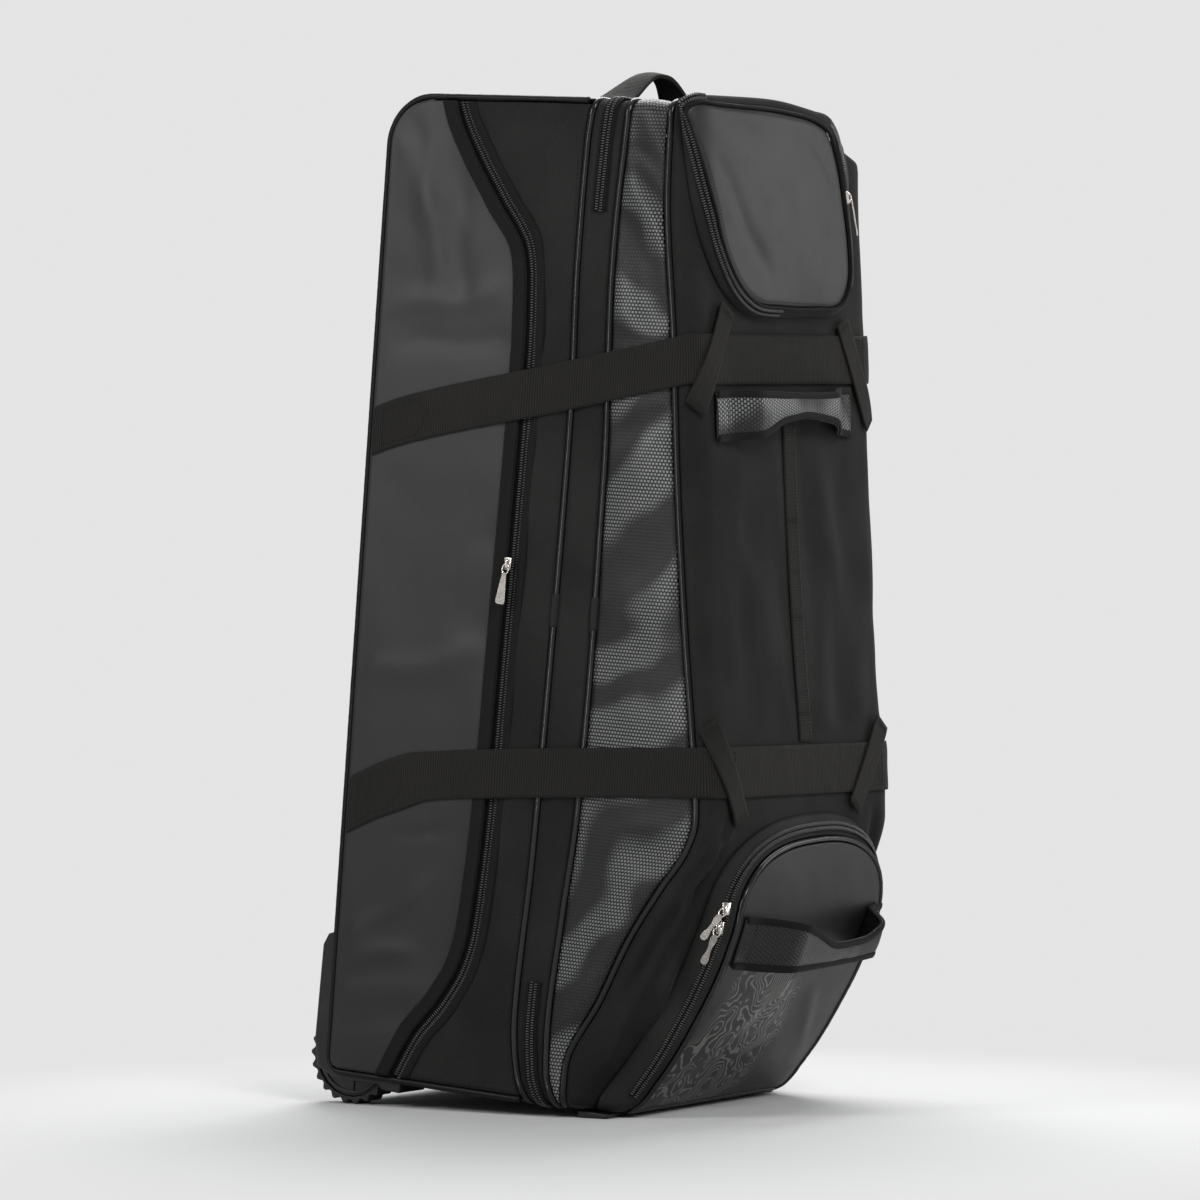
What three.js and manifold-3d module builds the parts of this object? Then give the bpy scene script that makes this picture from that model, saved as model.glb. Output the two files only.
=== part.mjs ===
// Wheeled cricket kit bag, standing upright on its wheel end. Lengths in millimetres.
import * as THREE from 'three';
import Module from 'manifold-3d';

const wasm = await Module();
wasm.setup();

// Main sizes.
const WIDTH = 365;
const HEIGHT = 955;
const DEPTH = 420;
const LEAN = THREE.MathUtils.degToRad(4.6);
const BASE_DROP = 12;
const EDGE_ROUND = 14;
const BACK_ROUND = 50;
const BASE_ROUND = 16;
const FRONT_ROUND = 30;
const TOP_SAG = 26;
const SHELL = 2;
const GAP = 0.4;

// Trim sizes.
const PIPING_R = 3.2;
const POCKET_PIPING_R = 2.6;
const FLAP_RAISE = 2.0;
const BINDING_WIDTH = 15;
const BINDING_THICK = 2.2;
const ZIP_WIDTH = 14;
const ZIP_THICK = 1.8;
const BAND_ZIP_WIDTH = 15;
const WEBBING = 48;
const WEBBING_THICK = 1.8;
const NARROW = 24;
const STRIP_WIDTH = 24;
const STRAP_END = 70;
const PULL_LENGTH = 36;
const PULL_WIDTH = 7;

// Wheels.
const WHEEL_R = 48;
const WHEEL_WIDTH = 26;
const TREAD = 7;
const LUGS = 22;
const AXLE_R = 4;
const WHEEL_INSET = 18;
const WHEEL_DEPTH = 18;
const WHEEL_RISE = 5.4;
const WELL_CLEAR = 4;
const CHEEK = 4;
const OUTER_CHEEK = 8;
const GUARD_HEIGHT = 128;
const GUARD_THICK = 16.5;

// Handles.
const TOP_HANDLE_SPAN = 186;
const TOP_HANDLE_WIDTH = 46;
const TOP_HANDLE_RISE = 37;
const TOP_HANDLE_DEPTH = 184;
const GRAB_THICK = 6;
const GRAB_BOW = 17;
const LOW_GRAB_BOW = 33;

// Rises are shares of HEIGHT, reaches are shares of DEPTH measured from the back.
const FRONT = [
  { rise: -0.016, reach: 0.707 },
  { rise: 0.059, reach: 0.810 },
  { rise: 0.121, reach: 0.879 },
  { rise: 0.164, reach: 0.919 },
  { rise: 0.218, reach: 0.958 },
  { rise: 0.298, reach: 0.998 },
  { rise: 0.364, reach: 0.983 },
  { rise: 0.467, reach: 0.945 },
  { rise: 0.624, reach: 0.895 },
  { rise: 0.762, reach: 0.860 },
  { rise: 0.920, reach: 0.819 },
  { rise: 1.000, reach: 0.800 },
];
const REAR_LINE = [
  { rise: -0.014, reach: 0.560 },
  { rise: 0.015, reach: 0.530 },
  { rise: 0.070, reach: 0.513 },
  { rise: 0.232, reach: 0.531 },
  { rise: 0.349, reach: 0.539 },
  { rise: 0.687, reach: 0.552 },
  { rise: 0.838, reach: 0.543 },
  { rise: 0.958, reach: 0.548 },
  { rise: 1.000, reach: 0.560 },
];
const BAND_LINE = [
  { rise: -0.014, reach: 0.636 },
  { rise: 0.020, reach: 0.607 },
  { rise: 0.064, reach: 0.603 },
  { rise: 0.176, reach: 0.621 },
  { rise: 0.288, reach: 0.643 },
  { rise: 0.459, reach: 0.652 },
  { rise: 0.619, reach: 0.652 },
  { rise: 0.839, reach: 0.636 },
  { rise: 1.000, reach: 0.652 },
];
const CORNER_LINE = [
  { rise: -0.014, reach: 0.656 },
  { rise: 0.026, reach: 0.657 },
  { rise: 0.101, reach: 0.738 },
  { rise: 0.164, reach: 0.802 },
  { rise: 0.218, reach: 0.874 },
  { rise: 0.261, reach: 0.936 },
  { rise: 0.288, reach: 0.953 },
  { rise: 0.311, reach: 0.950 },
  { rise: 0.364, reach: 0.933 },
  { rise: 0.467, reach: 0.895 },
  { rise: 0.624, reach: 0.845 },
  { rise: 0.762, reach: 0.810 },
  { rise: 0.920, reach: 0.766 },
  { rise: 1.000, reach: 0.762 },
];
const FLAP_LINE = [
  { rise: -0.010, reach: 0.178 },
  { rise: 0.039, reach: 0.236 },
  { rise: 0.079, reach: 0.307 },
  { rise: 0.117, reach: 0.355 },
  { rise: 0.154, reach: 0.376 },
  { rise: 0.287, reach: 0.398 },
  { rise: 0.430, reach: 0.406 },
  { rise: 0.740, reach: 0.419 },
  { rise: 0.815, reach: 0.412 },
  { rise: 0.845, reach: 0.400 },
  { rise: 0.896, reach: 0.321 },
  { rise: 0.934, reach: 0.260 },
  { rise: 0.975, reach: 0.205 },
  { rise: 1.000, reach: 0.183 },
];
const UPPER_STRAP_RISE = [
  { reach: 0.000, rise: 0.649 },
  { reach: 0.083, rise: 0.663 },
  { reach: 0.219, rise: 0.679 },
  { reach: 0.462, rise: 0.703 },
  { reach: 0.750, rise: 0.733 },
  { reach: 0.860, rise: 0.745 },
];
const LOWER_STRAP_RISE = [
  { reach: 0.000, rise: 0.272 },
  { reach: 0.120, rise: 0.292 },
  { reach: 0.233, rise: 0.304 },
  { reach: 0.424, rise: 0.315 },
  { reach: 0.690, rise: 0.327 },
  { reach: 0.990, rise: 0.339 },
];
const POCKET_FACE = [
  { rise: -0.019, reach: 0.752 },
  { rise: -0.005, reach: 0.810 },
  { rise: 0.018, reach: 0.850 },
  { rise: 0.050, reach: 0.898 },
  { rise: 0.088, reach: 0.944 },
  { rise: 0.119, reach: 0.978 },
  { rise: 0.156, reach: 1.010 },
  { rise: 0.198, reach: 1.033 },
  { rise: 0.230, reach: 1.036 },
  { rise: 0.270, reach: 1.030 },
];
// Outline of the upper pocket: across is a share of WIDTH, run along the front skin.
const UPPER_POCKET = [
  { across: -0.080, rise: 0.807, flare: 11 },
  { across: -0.215, rise: 0.808, flare: 12 },
  { across: -0.310, rise: 0.826, flare: 16 },
  { across: -0.385, rise: 0.861, flare: 19 },
  { across: -0.425, rise: 0.900, flare: 18 },
  { across: -0.462, rise: 0.945, flare: 14 },
  { across: -0.488, rise: 0.975, flare: 9 },
  { across: -0.440, rise: 0.996, flare: 9 },
  { across: -0.290, rise: 1.001, flare: 9 },
  { across: -0.070, rise: 1.004, flare: 9 },
  { across: 0.130, rise: 1.001, flare: 9 },
  { across: 0.215, rise: 0.990, flare: 12 },
  { across: 0.262, rise: 0.962, flare: 18 },
  { across: 0.290, rise: 0.923, flare: 20 },
  { across: 0.310, rise: 0.880, flare: 20 },
  { across: 0.305, rise: 0.842, flare: 18 },
  { across: 0.250, rise: 0.817, flare: 15 },
  { across: 0.100, rise: 0.810, flare: 11 },
];
const UPPER_GRAB = [
  { across: -0.400, low: 0.664, high: 0.716 },
  { across: -0.330, low: 0.667, high: 0.718 },
  { across: -0.230, low: 0.673, high: 0.720 },
  { across: -0.120, low: 0.688, high: 0.721 },
  { across: 0.020, low: 0.695, high: 0.723 },
  { across: 0.150, low: 0.692, high: 0.726 },
  { across: 0.250, low: 0.682, high: 0.731 },
  { across: 0.335, low: 0.679, high: 0.733 },
];
const LOWER_GRAB = [
  { across: -0.372, low: 0.142, high: 0.197 },
  { across: -0.270, low: 0.139, high: 0.194 },
  { across: -0.160, low: 0.140, high: 0.184 },
  { across: -0.020, low: 0.142, high: 0.168 },
  { across: 0.130, low: 0.144, high: 0.171 },
  { across: 0.240, low: 0.146, high: 0.187 },
  { across: 0.310, low: 0.146, high: 0.196 },
  { across: 0.372, low: 0.147, high: 0.198 },
];
// Narrow cinch straps on the front skin, from the upper end to the lower end.
const CINCHES = [
  { name: 'cinch_upper_left', from: [-0.335, 0.800], to: [-0.490, 0.696] },
  { name: 'cinch_upper_right', from: [0.300, 0.800], to: [0.455, 0.694] },
  { name: 'cinch_lower_left', from: [-0.500, 0.386], to: [-0.372, 0.290] },
  { name: 'cinch_lower_right', from: [0.425, 0.386], to: [0.250, 0.298] },
];

// Looks.
const LOOKS = {
  coated: { color: 0x39393a, roughness: 0.62, metalness: 0 },
  woven: { color: 0x1f1f20, roughness: 0.9, metalness: 0 },
  embossed: { color: 0x2a2b2e, roughness: 0.34, metalness: 0 },
  piping: { color: 0x262627, roughness: 0.3, metalness: 0 },
  webbing: { color: 0x1b1b1b, roughness: 0.85, metalness: 0 },
  binding: { color: 0x191919, roughness: 0.9, metalness: 0 },
  coil: { color: 0x141414, roughness: 0.5, metalness: 0 },
  nickel: { color: 0xb9b6b0, roughness: 0.25, metalness: 1 },
  plastic: { color: 0x171718, roughness: 0.5, metalness: 0 },
  tyre: { color: 0x141414, roughness: 0.8, metalness: 0 },
};

const bag = new THREE.Group();
bag.name = 'cricket_kit_bag';

// Curves through the tables.
function through(rows, along, key, alongSize, keySize) {
  const at = rows.map((row) => row[along] * alongSize);
  const value = rows.map((row) => row[key] * keySize);
  const last = rows.length - 1;
  const secant = [];
  for (let i = 0; i < last; i += 1) {
    secant.push((value[i + 1] - value[i]) / (at[i + 1] - at[i]));
  }
  const slope = rows.map((row, i) => {
    if (i === 0) return secant[0];
    if (i === last) return secant[last - 1];
    if (secant[i - 1] * secant[i] <= 0) return 0;
    return (2 * secant[i - 1] * secant[i]) / (secant[i - 1] + secant[i]);
  });
  return (where) => {
    if (where <= at[0]) return value[0];
    if (where >= at[last]) return value[last];
    let i = 0;
    while (where > at[i + 1]) i += 1;
    const span = at[i + 1] - at[i];
    const t = (where - at[i]) / span;
    const u = 1 - t;
    const ends = value[i] * u * u * (1 + 2 * t) + value[i + 1] * t * t * (3 - 2 * t);
    return ends + span * (slope[i] * u * u * t - slope[i + 1] * t * t * u);
  };
}

const frontDepth = through(FRONT, 'rise', 'reach', HEIGHT, DEPTH);
const rearLine = through(REAR_LINE, 'rise', 'reach', HEIGHT, DEPTH);
const bandLine = through(BAND_LINE, 'rise', 'reach', HEIGHT, DEPTH);
const cornerLine = through(CORNER_LINE, 'rise', 'reach', HEIGHT, DEPTH);
const flapLine = through(FLAP_LINE, 'rise', 'reach', HEIGHT, DEPTH);
const pocketFace = through(POCKET_FACE, 'rise', 'reach', HEIGHT, DEPTH);

// The skin of the bag.
function eased(from, to, at) {
  const share = THREE.MathUtils.clamp((at - from) / (to - from), 0, 1);
  return share * share * (3 - 2 * share);
}

// The cloth sags at the right end of the top front edge.
function sag(x, depth, rise) {
  const across = eased(0.17 * WIDTH, 0.52 * WIDTH, x);
  const forward = eased(0.5 * DEPTH, 0.77 * DEPTH, depth);
  const upward = eased(0.84 * HEIGHT, HEIGHT, rise);
  return TOP_SAG * across * forward * upward;
}

// A place in the upright bag (across, depth from the back, rise) as it stands, leaning forward.
function stand(x, depth, rise) {
  const level = rise - sag(x, depth, rise);
  const y = -depth * Math.cos(LEAN) - level * Math.sin(LEAN);
  const z = -depth * Math.sin(LEAN) + level * Math.cos(LEAN);
  return new THREE.Vector3(x, y, z);
}

// Half width of the bag at a rise, drawn in over the round top and base edges.
function halfWidth(rise) {
  const up = Math.max(0, rise - (HEIGHT - EDGE_ROUND));
  const down = Math.max(0, EDGE_ROUND - BASE_DROP - rise);
  const over = Math.min(EDGE_ROUND, Math.max(up, down));
  return WIDTH / 2 - EDGE_ROUND + Math.sqrt(Math.max(0, EDGE_ROUND ** 2 - over ** 2));
}

// Depth of a line moved sideways by a set distance, measured square to the line.
function beside(line, rise, distance) {
  const slope = (line(rise + 2) - line(rise - 2)) / 4;
  return line(rise) + distance * Math.sqrt(1 + slope * slope);
}

const SEAM = PIPING_R + 2 * GAP;

// Depth where the front panel starts on the side, and how deep its corner turns.
function frontStart(rise) {
  const beyond = Math.max(beside(cornerLine, rise, SEAM), beside(bandLine, rise, SEAM));
  return Math.min(beyond, frontDepth(rise) - 6);
}

function cornerTurnDepth(rise) {
  return Math.min(FRONT_ROUND, frontDepth(rise) - frontStart(rise) - 1);
}

// A place on the front skin, at a distance run from the middle line and round the corner.
function onFront(run, rise, lift = 0) {
  const flat = WIDTH / 2 - FRONT_ROUND;
  const side = Math.sign(run) || 1;
  const far = Math.abs(run);
  const reach = frontDepth(rise);
  if (far <= flat) return stand(run, reach + lift, rise);
  const deep = cornerTurnDepth(rise);
  const turn = Math.min(Math.PI / 2, (far - flat) / FRONT_ROUND);
  const normal = new THREE.Vector2(Math.sin(turn) / FRONT_ROUND, Math.cos(turn) / deep).normalize();
  const x = flat + FRONT_ROUND * Math.sin(turn) + lift * normal.x;
  const inward = halfWidth(rise) - WIDTH / 2;
  return stand(side * (x + inward), reach - deep + deep * Math.cos(turn) + lift * normal.y, rise);
}

function steps(from, to, count) {
  return Array.from({ length: count + 1 }, (unused, i) => from + ((to - from) * i) / count);
}

function mixed(a, b, share) {
  return a.clone().lerp(b, share);
}

// Solids.
function addMesh(name, look, positions, faces) {
  const geometry = new THREE.BufferGeometry();
  geometry.setAttribute('position', new THREE.Float32BufferAttribute(positions, 3));
  geometry.setIndex(faces);
  return addPiece(name, look, geometry);
}

function addPiece(name, look, geometry) {
  geometry.computeVertexNormals();
  const mesh = new THREE.Mesh(geometry, new THREE.MeshStandardMaterial(LOOKS[look]));
  mesh.name = name;
  bag.add(mesh);
  return mesh;
}

function signedVolume(positions, faces) {
  const corner = (i) => new THREE.Vector3().fromArray(positions, faces[i] * 3);
  let volume = 0;
  for (let i = 0; i < faces.length; i += 3) {
    volume += corner(i).dot(corner(i + 1).cross(corner(i + 2)));
  }
  return volume;
}

// Closed body between a grid of points and the same grid set back by a thickness.
// ring joins the last row to the first; away is a point on the inner side of the sheet.
function sheetData(grid, thick, away, ring = false) {
  const rows = grid.length;
  const cols = grid[0].length;
  const pick = (j, i) => grid[ring ? (j + rows) % rows : THREE.MathUtils.clamp(j, 0, rows - 1)]
    [THREE.MathUtils.clamp(i, 0, cols - 1)];
  const normals = grid.map((row, j) => row.map((point, i) => {
    const across = pick(j, i + 1).clone().sub(pick(j, i - 1));
    const along = pick(j + 1, i).clone().sub(pick(j - 1, i));
    return across.cross(along).normalize();
  }));
  let facing = 0;
  grid.forEach((row, j) => row.forEach((point, i) => {
    facing += normals[j][i].dot(point.clone().sub(away));
  }));
  const sign = facing >= 0 ? 1 : -1;
  const positions = [];
  grid.forEach((row) => row.forEach((point) => positions.push(point.x, point.y, point.z)));
  grid.forEach((row, j) => row.forEach((point, i) => {
    const inner = point.clone().addScaledVector(normals[j][i], -sign * thick);
    positions.push(inner.x, inner.y, inner.z);
  }));
  const outer = (j, i) => (j % rows) * cols + i;
  const inner = (j, i) => rows * cols + (j % rows) * cols + i;
  const faces = [];
  const quad = (a, b, c, d) => faces.push(a, b, c, a, c, d);
  const bands = ring ? rows : rows - 1;
  for (let j = 0; j < bands; j += 1) {
    for (let i = 0; i < cols - 1; i += 1) {
      quad(outer(j, i), outer(j, i + 1), outer(j + 1, i + 1), outer(j + 1, i));
      quad(inner(j, i), inner(j + 1, i), inner(j + 1, i + 1), inner(j, i + 1));
    }
    quad(outer(j, 0), outer(j + 1, 0), inner(j + 1, 0), inner(j, 0));
    quad(outer(j, cols - 1), inner(j, cols - 1), inner(j + 1, cols - 1), outer(j + 1, cols - 1));
  }
  if (!ring) {
    for (let i = 0; i < cols - 1; i += 1) {
      quad(outer(0, i), inner(0, i), inner(0, i + 1), outer(0, i + 1));
      quad(outer(rows - 1, i), outer(rows - 1, i + 1), inner(rows - 1, i + 1), inner(rows - 1, i));
    }
  }
  if (signedVolume(positions, faces) < 0) {
    for (let i = 0; i < faces.length; i += 3) {
      [faces[i + 1], faces[i + 2]] = [faces[i + 2], faces[i + 1]];
    }
  }
  return { positions, faces };
}

const MIDDLE = stand(0, DEPTH * 0.45, HEIGHT * 0.5);

function sheet(name, look, grid, thick, away = MIDDLE, ring = false) {
  const { positions, faces } = sheetData(grid, thick, away, ring);
  return addMesh(name, look, positions, faces);
}

// Round bar along a line of points, capped unless it closes on itself.
function bar(name, look, points, radius, closed = false, sides = 5) {
  const count = points.length;
  const step = (i) => {
    const before = points[closed ? (i + count - 1) % count : Math.max(0, i - 1)];
    const after = points[closed ? (i + 1) % count : Math.min(count - 1, i + 1)];
    return after.clone().sub(before).normalize();
  };
  let reference = new THREE.Vector3(1, 0, 0).cross(step(0));
  if (reference.length() < 0.3) reference = new THREE.Vector3(0, 1, 0).cross(step(0));
  reference.normalize();
  const positions = [];
  for (let i = 0; i < count; i += 1) {
    const ahead = step(i);
    reference = reference.clone().addScaledVector(ahead, -reference.dot(ahead)).normalize();
    const other = ahead.clone().cross(reference);
    for (let k = 0; k < sides; k += 1) {
      const angle = (2 * Math.PI * k) / sides;
      const spot = points[i].clone().addScaledVector(reference, radius * Math.cos(angle));
      spot.addScaledVector(other, radius * Math.sin(angle));
      positions.push(spot.x, spot.y, spot.z);
    }
  }
  const faces = [];
  const bands = closed ? count : count - 1;
  for (let i = 0; i < bands; i += 1) {
    for (let k = 0; k < sides; k += 1) {
      const a = i * sides + k;
      const b = i * sides + ((k + 1) % sides);
      const c = ((i + 1) % count) * sides + ((k + 1) % sides);
      const d = ((i + 1) % count) * sides + k;
      faces.push(a, b, c, a, c, d);
    }
  }
  if (!closed) {
    for (let k = 1; k < sides - 1; k += 1) {
      faces.push(0, k + 1, k);
      const end = (count - 1) * sides;
      faces.push(end, end + k, end + k + 1);
    }
  }
  if (signedVolume(positions, faces) < 0) {
    for (let i = 0; i < faces.length; i += 3) {
      [faces[i + 1], faces[i + 2]] = [faces[i + 2], faces[i + 1]];
    }
  }
  return addMesh(name, look, positions, faces);
}

function toManifold(positions, faces) {
  const mesh = new wasm.Mesh({
    numProp: 3,
    vertProperties: new Float32Array(positions),
    triVerts: new Uint32Array(faces),
  });
  return new wasm.Manifold(mesh);
}

function addManifold(name, look, solid) {
  const mesh = solid.getMesh();
  return addMesh(name, look, Array.from(mesh.vertProperties), Array.from(mesh.triVerts));
}

// Flat outline in depth and rise, carried across the bag from one x to another.
function plate(drawn, fromX, toX) {
  const drawnFlat = drawn.map(([depth, rise]) => new THREE.Vector2(depth, rise));
  const outline = THREE.ShapeUtils.isClockWise(drawnFlat) ? drawn.slice().reverse() : drawn;
  const count = outline.length;
  const positions = [];
  [fromX, toX].forEach((x) => outline.forEach(([depth, rise]) => {
    const spot = stand(x, depth, rise);
    positions.push(spot.x, spot.y, spot.z);
  }));
  const flat = outline.map(([depth, rise]) => new THREE.Vector2(depth, rise));
  const caps = THREE.ShapeUtils.triangulateShape(flat, []);
  const faces = [];
  caps.forEach(([a, b, c]) => {
    faces.push(a, b, c);
    faces.push(count + a, count + c, count + b);
  });
  for (let i = 0; i < count; i += 1) {
    const next = (i + 1) % count;
    faces.push(i, count + next, next, i, count + i, count + next);
  }
  if (signedVolume(positions, faces) < 0) {
    for (let i = 0; i < faces.length; i += 3) {
      [faces[i + 1], faces[i + 2]] = [faces[i + 2], faces[i + 1]];
    }
  }
  return toManifold(positions, faces);
}

function block(fromX, toX, fromDepth, toDepth, fromRise, toRise) {
  const outline = [
    [fromDepth, fromRise],
    [toDepth, fromRise],
    [toDepth, toRise],
    [fromDepth, toRise],
  ];
  return plate(outline, fromX, toX);
}

function disc(depth, rise, radius, fromX, toX, sides = 32) {
  const outline = steps(0, 2 * Math.PI, sides).slice(0, sides).map((angle) => [
    depth + radius * Math.cos(angle),
    rise + radius * Math.sin(angle),
  ]);
  return plate(outline, fromX, toX);
}

// Stations up the sides and round the bag.
const LOW_RISE = EDGE_ROUND - BASE_DROP;
const HIGH_RISE = HEIGHT - EDGE_ROUND;
const SIDE_RISES = [0, 0.011, 0.024].map((share) => LOW_RISE + share * HEIGHT)
  .concat(steps(0.05 * HEIGHT, 0.34 * HEIGHT, 8))
  .concat(steps(0.34 * HEIGHT, HIGH_RISE, 7).slice(1));
const EDGE_ANGLES = steps(0, Math.PI / 2, 3);
const SEAM_X = WIDTH / 2 - 2 - SEAM;

// Half way round the bag from the middle of the base up the left side to the middle of the top.
function halfRound(lift) {
  const flat = WIDTH / 2 - EDGE_ROUND;
  const round = EDGE_ROUND + lift;
  const stations = [];
  [0, -flat * 0.55].forEach((x) => stations.push({ x, rise: -BASE_DROP - lift, level: -BASE_DROP }));
  EDGE_ANGLES.forEach((turn) => stations.push({
    x: -flat - round * Math.sin(turn),
    rise: LOW_RISE - round * Math.cos(turn),
    level: LOW_RISE - EDGE_ROUND * Math.cos(turn),
  }));
  SIDE_RISES.slice(1, -1).forEach((rise) => stations.push({ x: -flat - round, rise, level: rise }));
  EDGE_ANGLES.forEach((turn) => stations.push({
    x: -flat - round * Math.cos(turn),
    rise: HIGH_RISE + round * Math.sin(turn),
    level: HIGH_RISE + EDGE_ROUND * Math.sin(turn),
  }));
  [-flat * 0.55, 0].forEach((x) => stations.push({ x, rise: HEIGHT + lift, level: HEIGHT }));
  return stations;
}

// The full way round: closed when whole, else only the part above a start rise.
function wayRound(lift, whole, start = 0) {
  const left = halfRound(lift);
  if (whole) {
    const right = left.slice(1, -1).reverse().map((spot) => ({ ...spot, x: -spot.x }));
    return left.concat(right);
  }
  const above = left.filter((spot) => spot.level > start - 1 && spot.x < -WIDTH * 0.4);
  above.push(...left.filter((spot) => spot.level > start && spot.x > -WIDTH * 0.4));
  const right = above.slice(0, -1).reverse().map((spot) => ({ ...spot, x: -spot.x }));
  return above.concat(right);
}

// Piping loops, gusset band and textured panels.
const pipeSink = 0.5;
const cornerFoot = SIDE_RISES[1];
const texturedFoot = SIDE_RISES[2];

bar('piping_rear', 'piping', wayRound(-pipeSink, true).map((s) => stand(s.x, rearLine(s.level), s.rise)),
  PIPING_R, true);
bar('piping_front', 'piping', wayRound(-pipeSink, true).map((s) => stand(s.x, bandLine(s.level), s.rise)),
  PIPING_R, true);
bar('piping_corner', 'piping',
  wayRound(-pipeSink, false, cornerFoot).map((s) => stand(s.x, cornerLine(s.level), s.rise)), PIPING_R);

sheet('gusset_band', 'woven', wayRound(0, true).map((s) => steps(0, 1, 1).map((share) => {
  const from = beside(rearLine, s.level, SEAM);
  const to = beside(bandLine, s.level, -SEAM);
  return stand(s.x, from + (to - from) * share, s.rise);
})), SHELL, MIDDLE, true);

const panelBulge = 4;
const swell = (share) => Math.sin(Math.PI * share) ** 0.7;
sheet('textured_panel', 'embossed', wayRound(0, false, texturedFoot).map((s) => {
  const from = beside(bandLine, s.level, SEAM);
  const to = Math.max(from + 1.5, beside(cornerLine, s.level, -SEAM));
  const plump = panelBulge * Math.min(1, (to - from) / 60);
  const outward = s.level < HIGH_RISE ? Math.sign(s.x) : 0;
  return steps(0, 1, 2).map((share) => stand(s.x + outward * plump * swell(share),
    from + (to - from) * share, s.rise));
}), SHELL);

// Zips let into the band, one over the top and one under the base.
function bandZip(name, keep) {
  const way = wayRound(ZIP_THICK + GAP, true).filter(keep);
  const split = way.findIndex((s, i) => i > 0 && Math.abs(s.x - way[i - 1].x) > WIDTH * 0.6);
  const ordered = split > 0 ? way.slice(split).concat(way.slice(0, split)) : way;
  return sheet(name, 'coil', ordered.map((s) => {
    const middle = (rearLine(s.level) + bandLine(s.level)) / 2;
    const half = BAND_ZIP_WIDTH / 2;
    return [middle - half, middle + half].map((depth) => stand(s.x, depth, s.rise));
  }), ZIP_THICK);
}
bandZip('band_zip_top', (s) => s.level > 0.88 * HEIGHT);
bandZip('band_zip_base', (s) => s.level < 0.115 * HEIGHT);

// Rear shell: back, top and base panels.

// Path of the back and top in depth and rise, from the base edge to the rear piping.
const backPath = steps(-BASE_DROP + 4, HEIGHT - BACK_ROUND, 7).map((rise) => [0, rise]);
const topPath = steps(0, Math.PI / 2, 4).map((turn) => [
  BACK_ROUND - BACK_ROUND * Math.cos(turn),
  HEIGHT - BACK_ROUND + BACK_ROUND * Math.sin(turn),
]).concat(steps(BACK_ROUND, rearLine(HEIGHT) - SEAM, 3).slice(1).map((depth) => [depth, HEIGHT]));

const acrossBack = steps(-SEAM_X, SEAM_X, 2);
const wellTop = WHEEL_RISE + WHEEL_R + WELL_CLEAR + CHEEK;
const wellFront = WHEEL_DEPTH + WHEEL_R + WELL_CLEAR + CHEEK;
const wellInner = WIDTH / 2 - WHEEL_INSET - WHEEL_WIDTH - WELL_CLEAR - CHEEK;
const wellOuter = WIDTH / 2 - WHEEL_INSET + WELL_CLEAR + CHEEK;

function withoutWells(grid) {
  const { positions, faces } = sheetData(grid, SHELL, MIDDLE);
  let solid = toManifold(positions, faces);
  [-1, 1].forEach((side) => {
    const near = side * (wellInner - GAP);
    const far = side * (wellOuter + 20);
    const cut = block(Math.min(near, far), Math.max(near, far), -60, wellFront + GAP, -60, wellTop + GAP);
    solid = solid.subtract(cut);
  });
  return solid;
}
addManifold('back_panel', 'woven',
  withoutWells(backPath.map(([depth, rise]) => acrossBack.map((x) => stand(x, depth, rise)))));
sheet('top_panel', 'woven', topPath.map(([depth, rise], j) => acrossBack.map((x) => {
  const lower = j === 0 ? GAP : 0;
  return stand(x, depth, rise + lower);
})), SHELL);
const rearBase = steps(SHELL + GAP, rearLine(-BASE_DROP) - SEAM - 1, 3);
addManifold('base_panel_rear', 'coated',
  withoutWells(rearBase.map((depth) => acrossBack.map((x) => stand(x, depth, -BASE_DROP)))));
const baseFrontX = WIDTH / 2 - EDGE_ROUND;
sheet('base_panel_front', 'coated',
  steps(bandLine(-BASE_DROP) + SEAM, frontDepth(-BASE_DROP) - SHELL - 6, 1).map((depth) => (
    steps(-baseFrontX, baseFrontX, 3).map((x) => stand(x, depth, -BASE_DROP)))), SHELL);

// Sides: flap, its zip and the cloth panel.
const sideTop = HEIGHT - 2 - SEAM;
const sideBase = -BASE_DROP + 2 + SEAM;
const sideRises = [sideBase].concat(SIDE_RISES.slice(0, -2), steps(0.83 * HEIGHT, sideTop, 5));

// Depth where the flap starts, following the piping round the top and base corners of the back.
function backEdge(rise) {
  const over = rise - (HEIGHT - BACK_ROUND);
  const under = BASE_ROUND - BASE_DROP - rise;
  const topRound = BACK_ROUND - 2 - SEAM;
  const baseRound = BASE_ROUND - 2 - SEAM;
  if (over > 0) return BACK_ROUND - Math.sqrt(Math.max(0, topRound ** 2 - over ** 2));
  if (under > 0) return BASE_ROUND - Math.sqrt(Math.max(0, baseRound ** 2 - under ** 2));
  return 2 + SEAM;
}

function besideFlap(rise, distance) {
  return beside(flapLine, rise, distance);
}

// The sides stay flat up to the piping; it sits where the round edge would start.
function flatSide(side, depth, rise, lift) {
  return stand(side * (WIDTH / 2 + lift), depth, rise);
}

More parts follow.
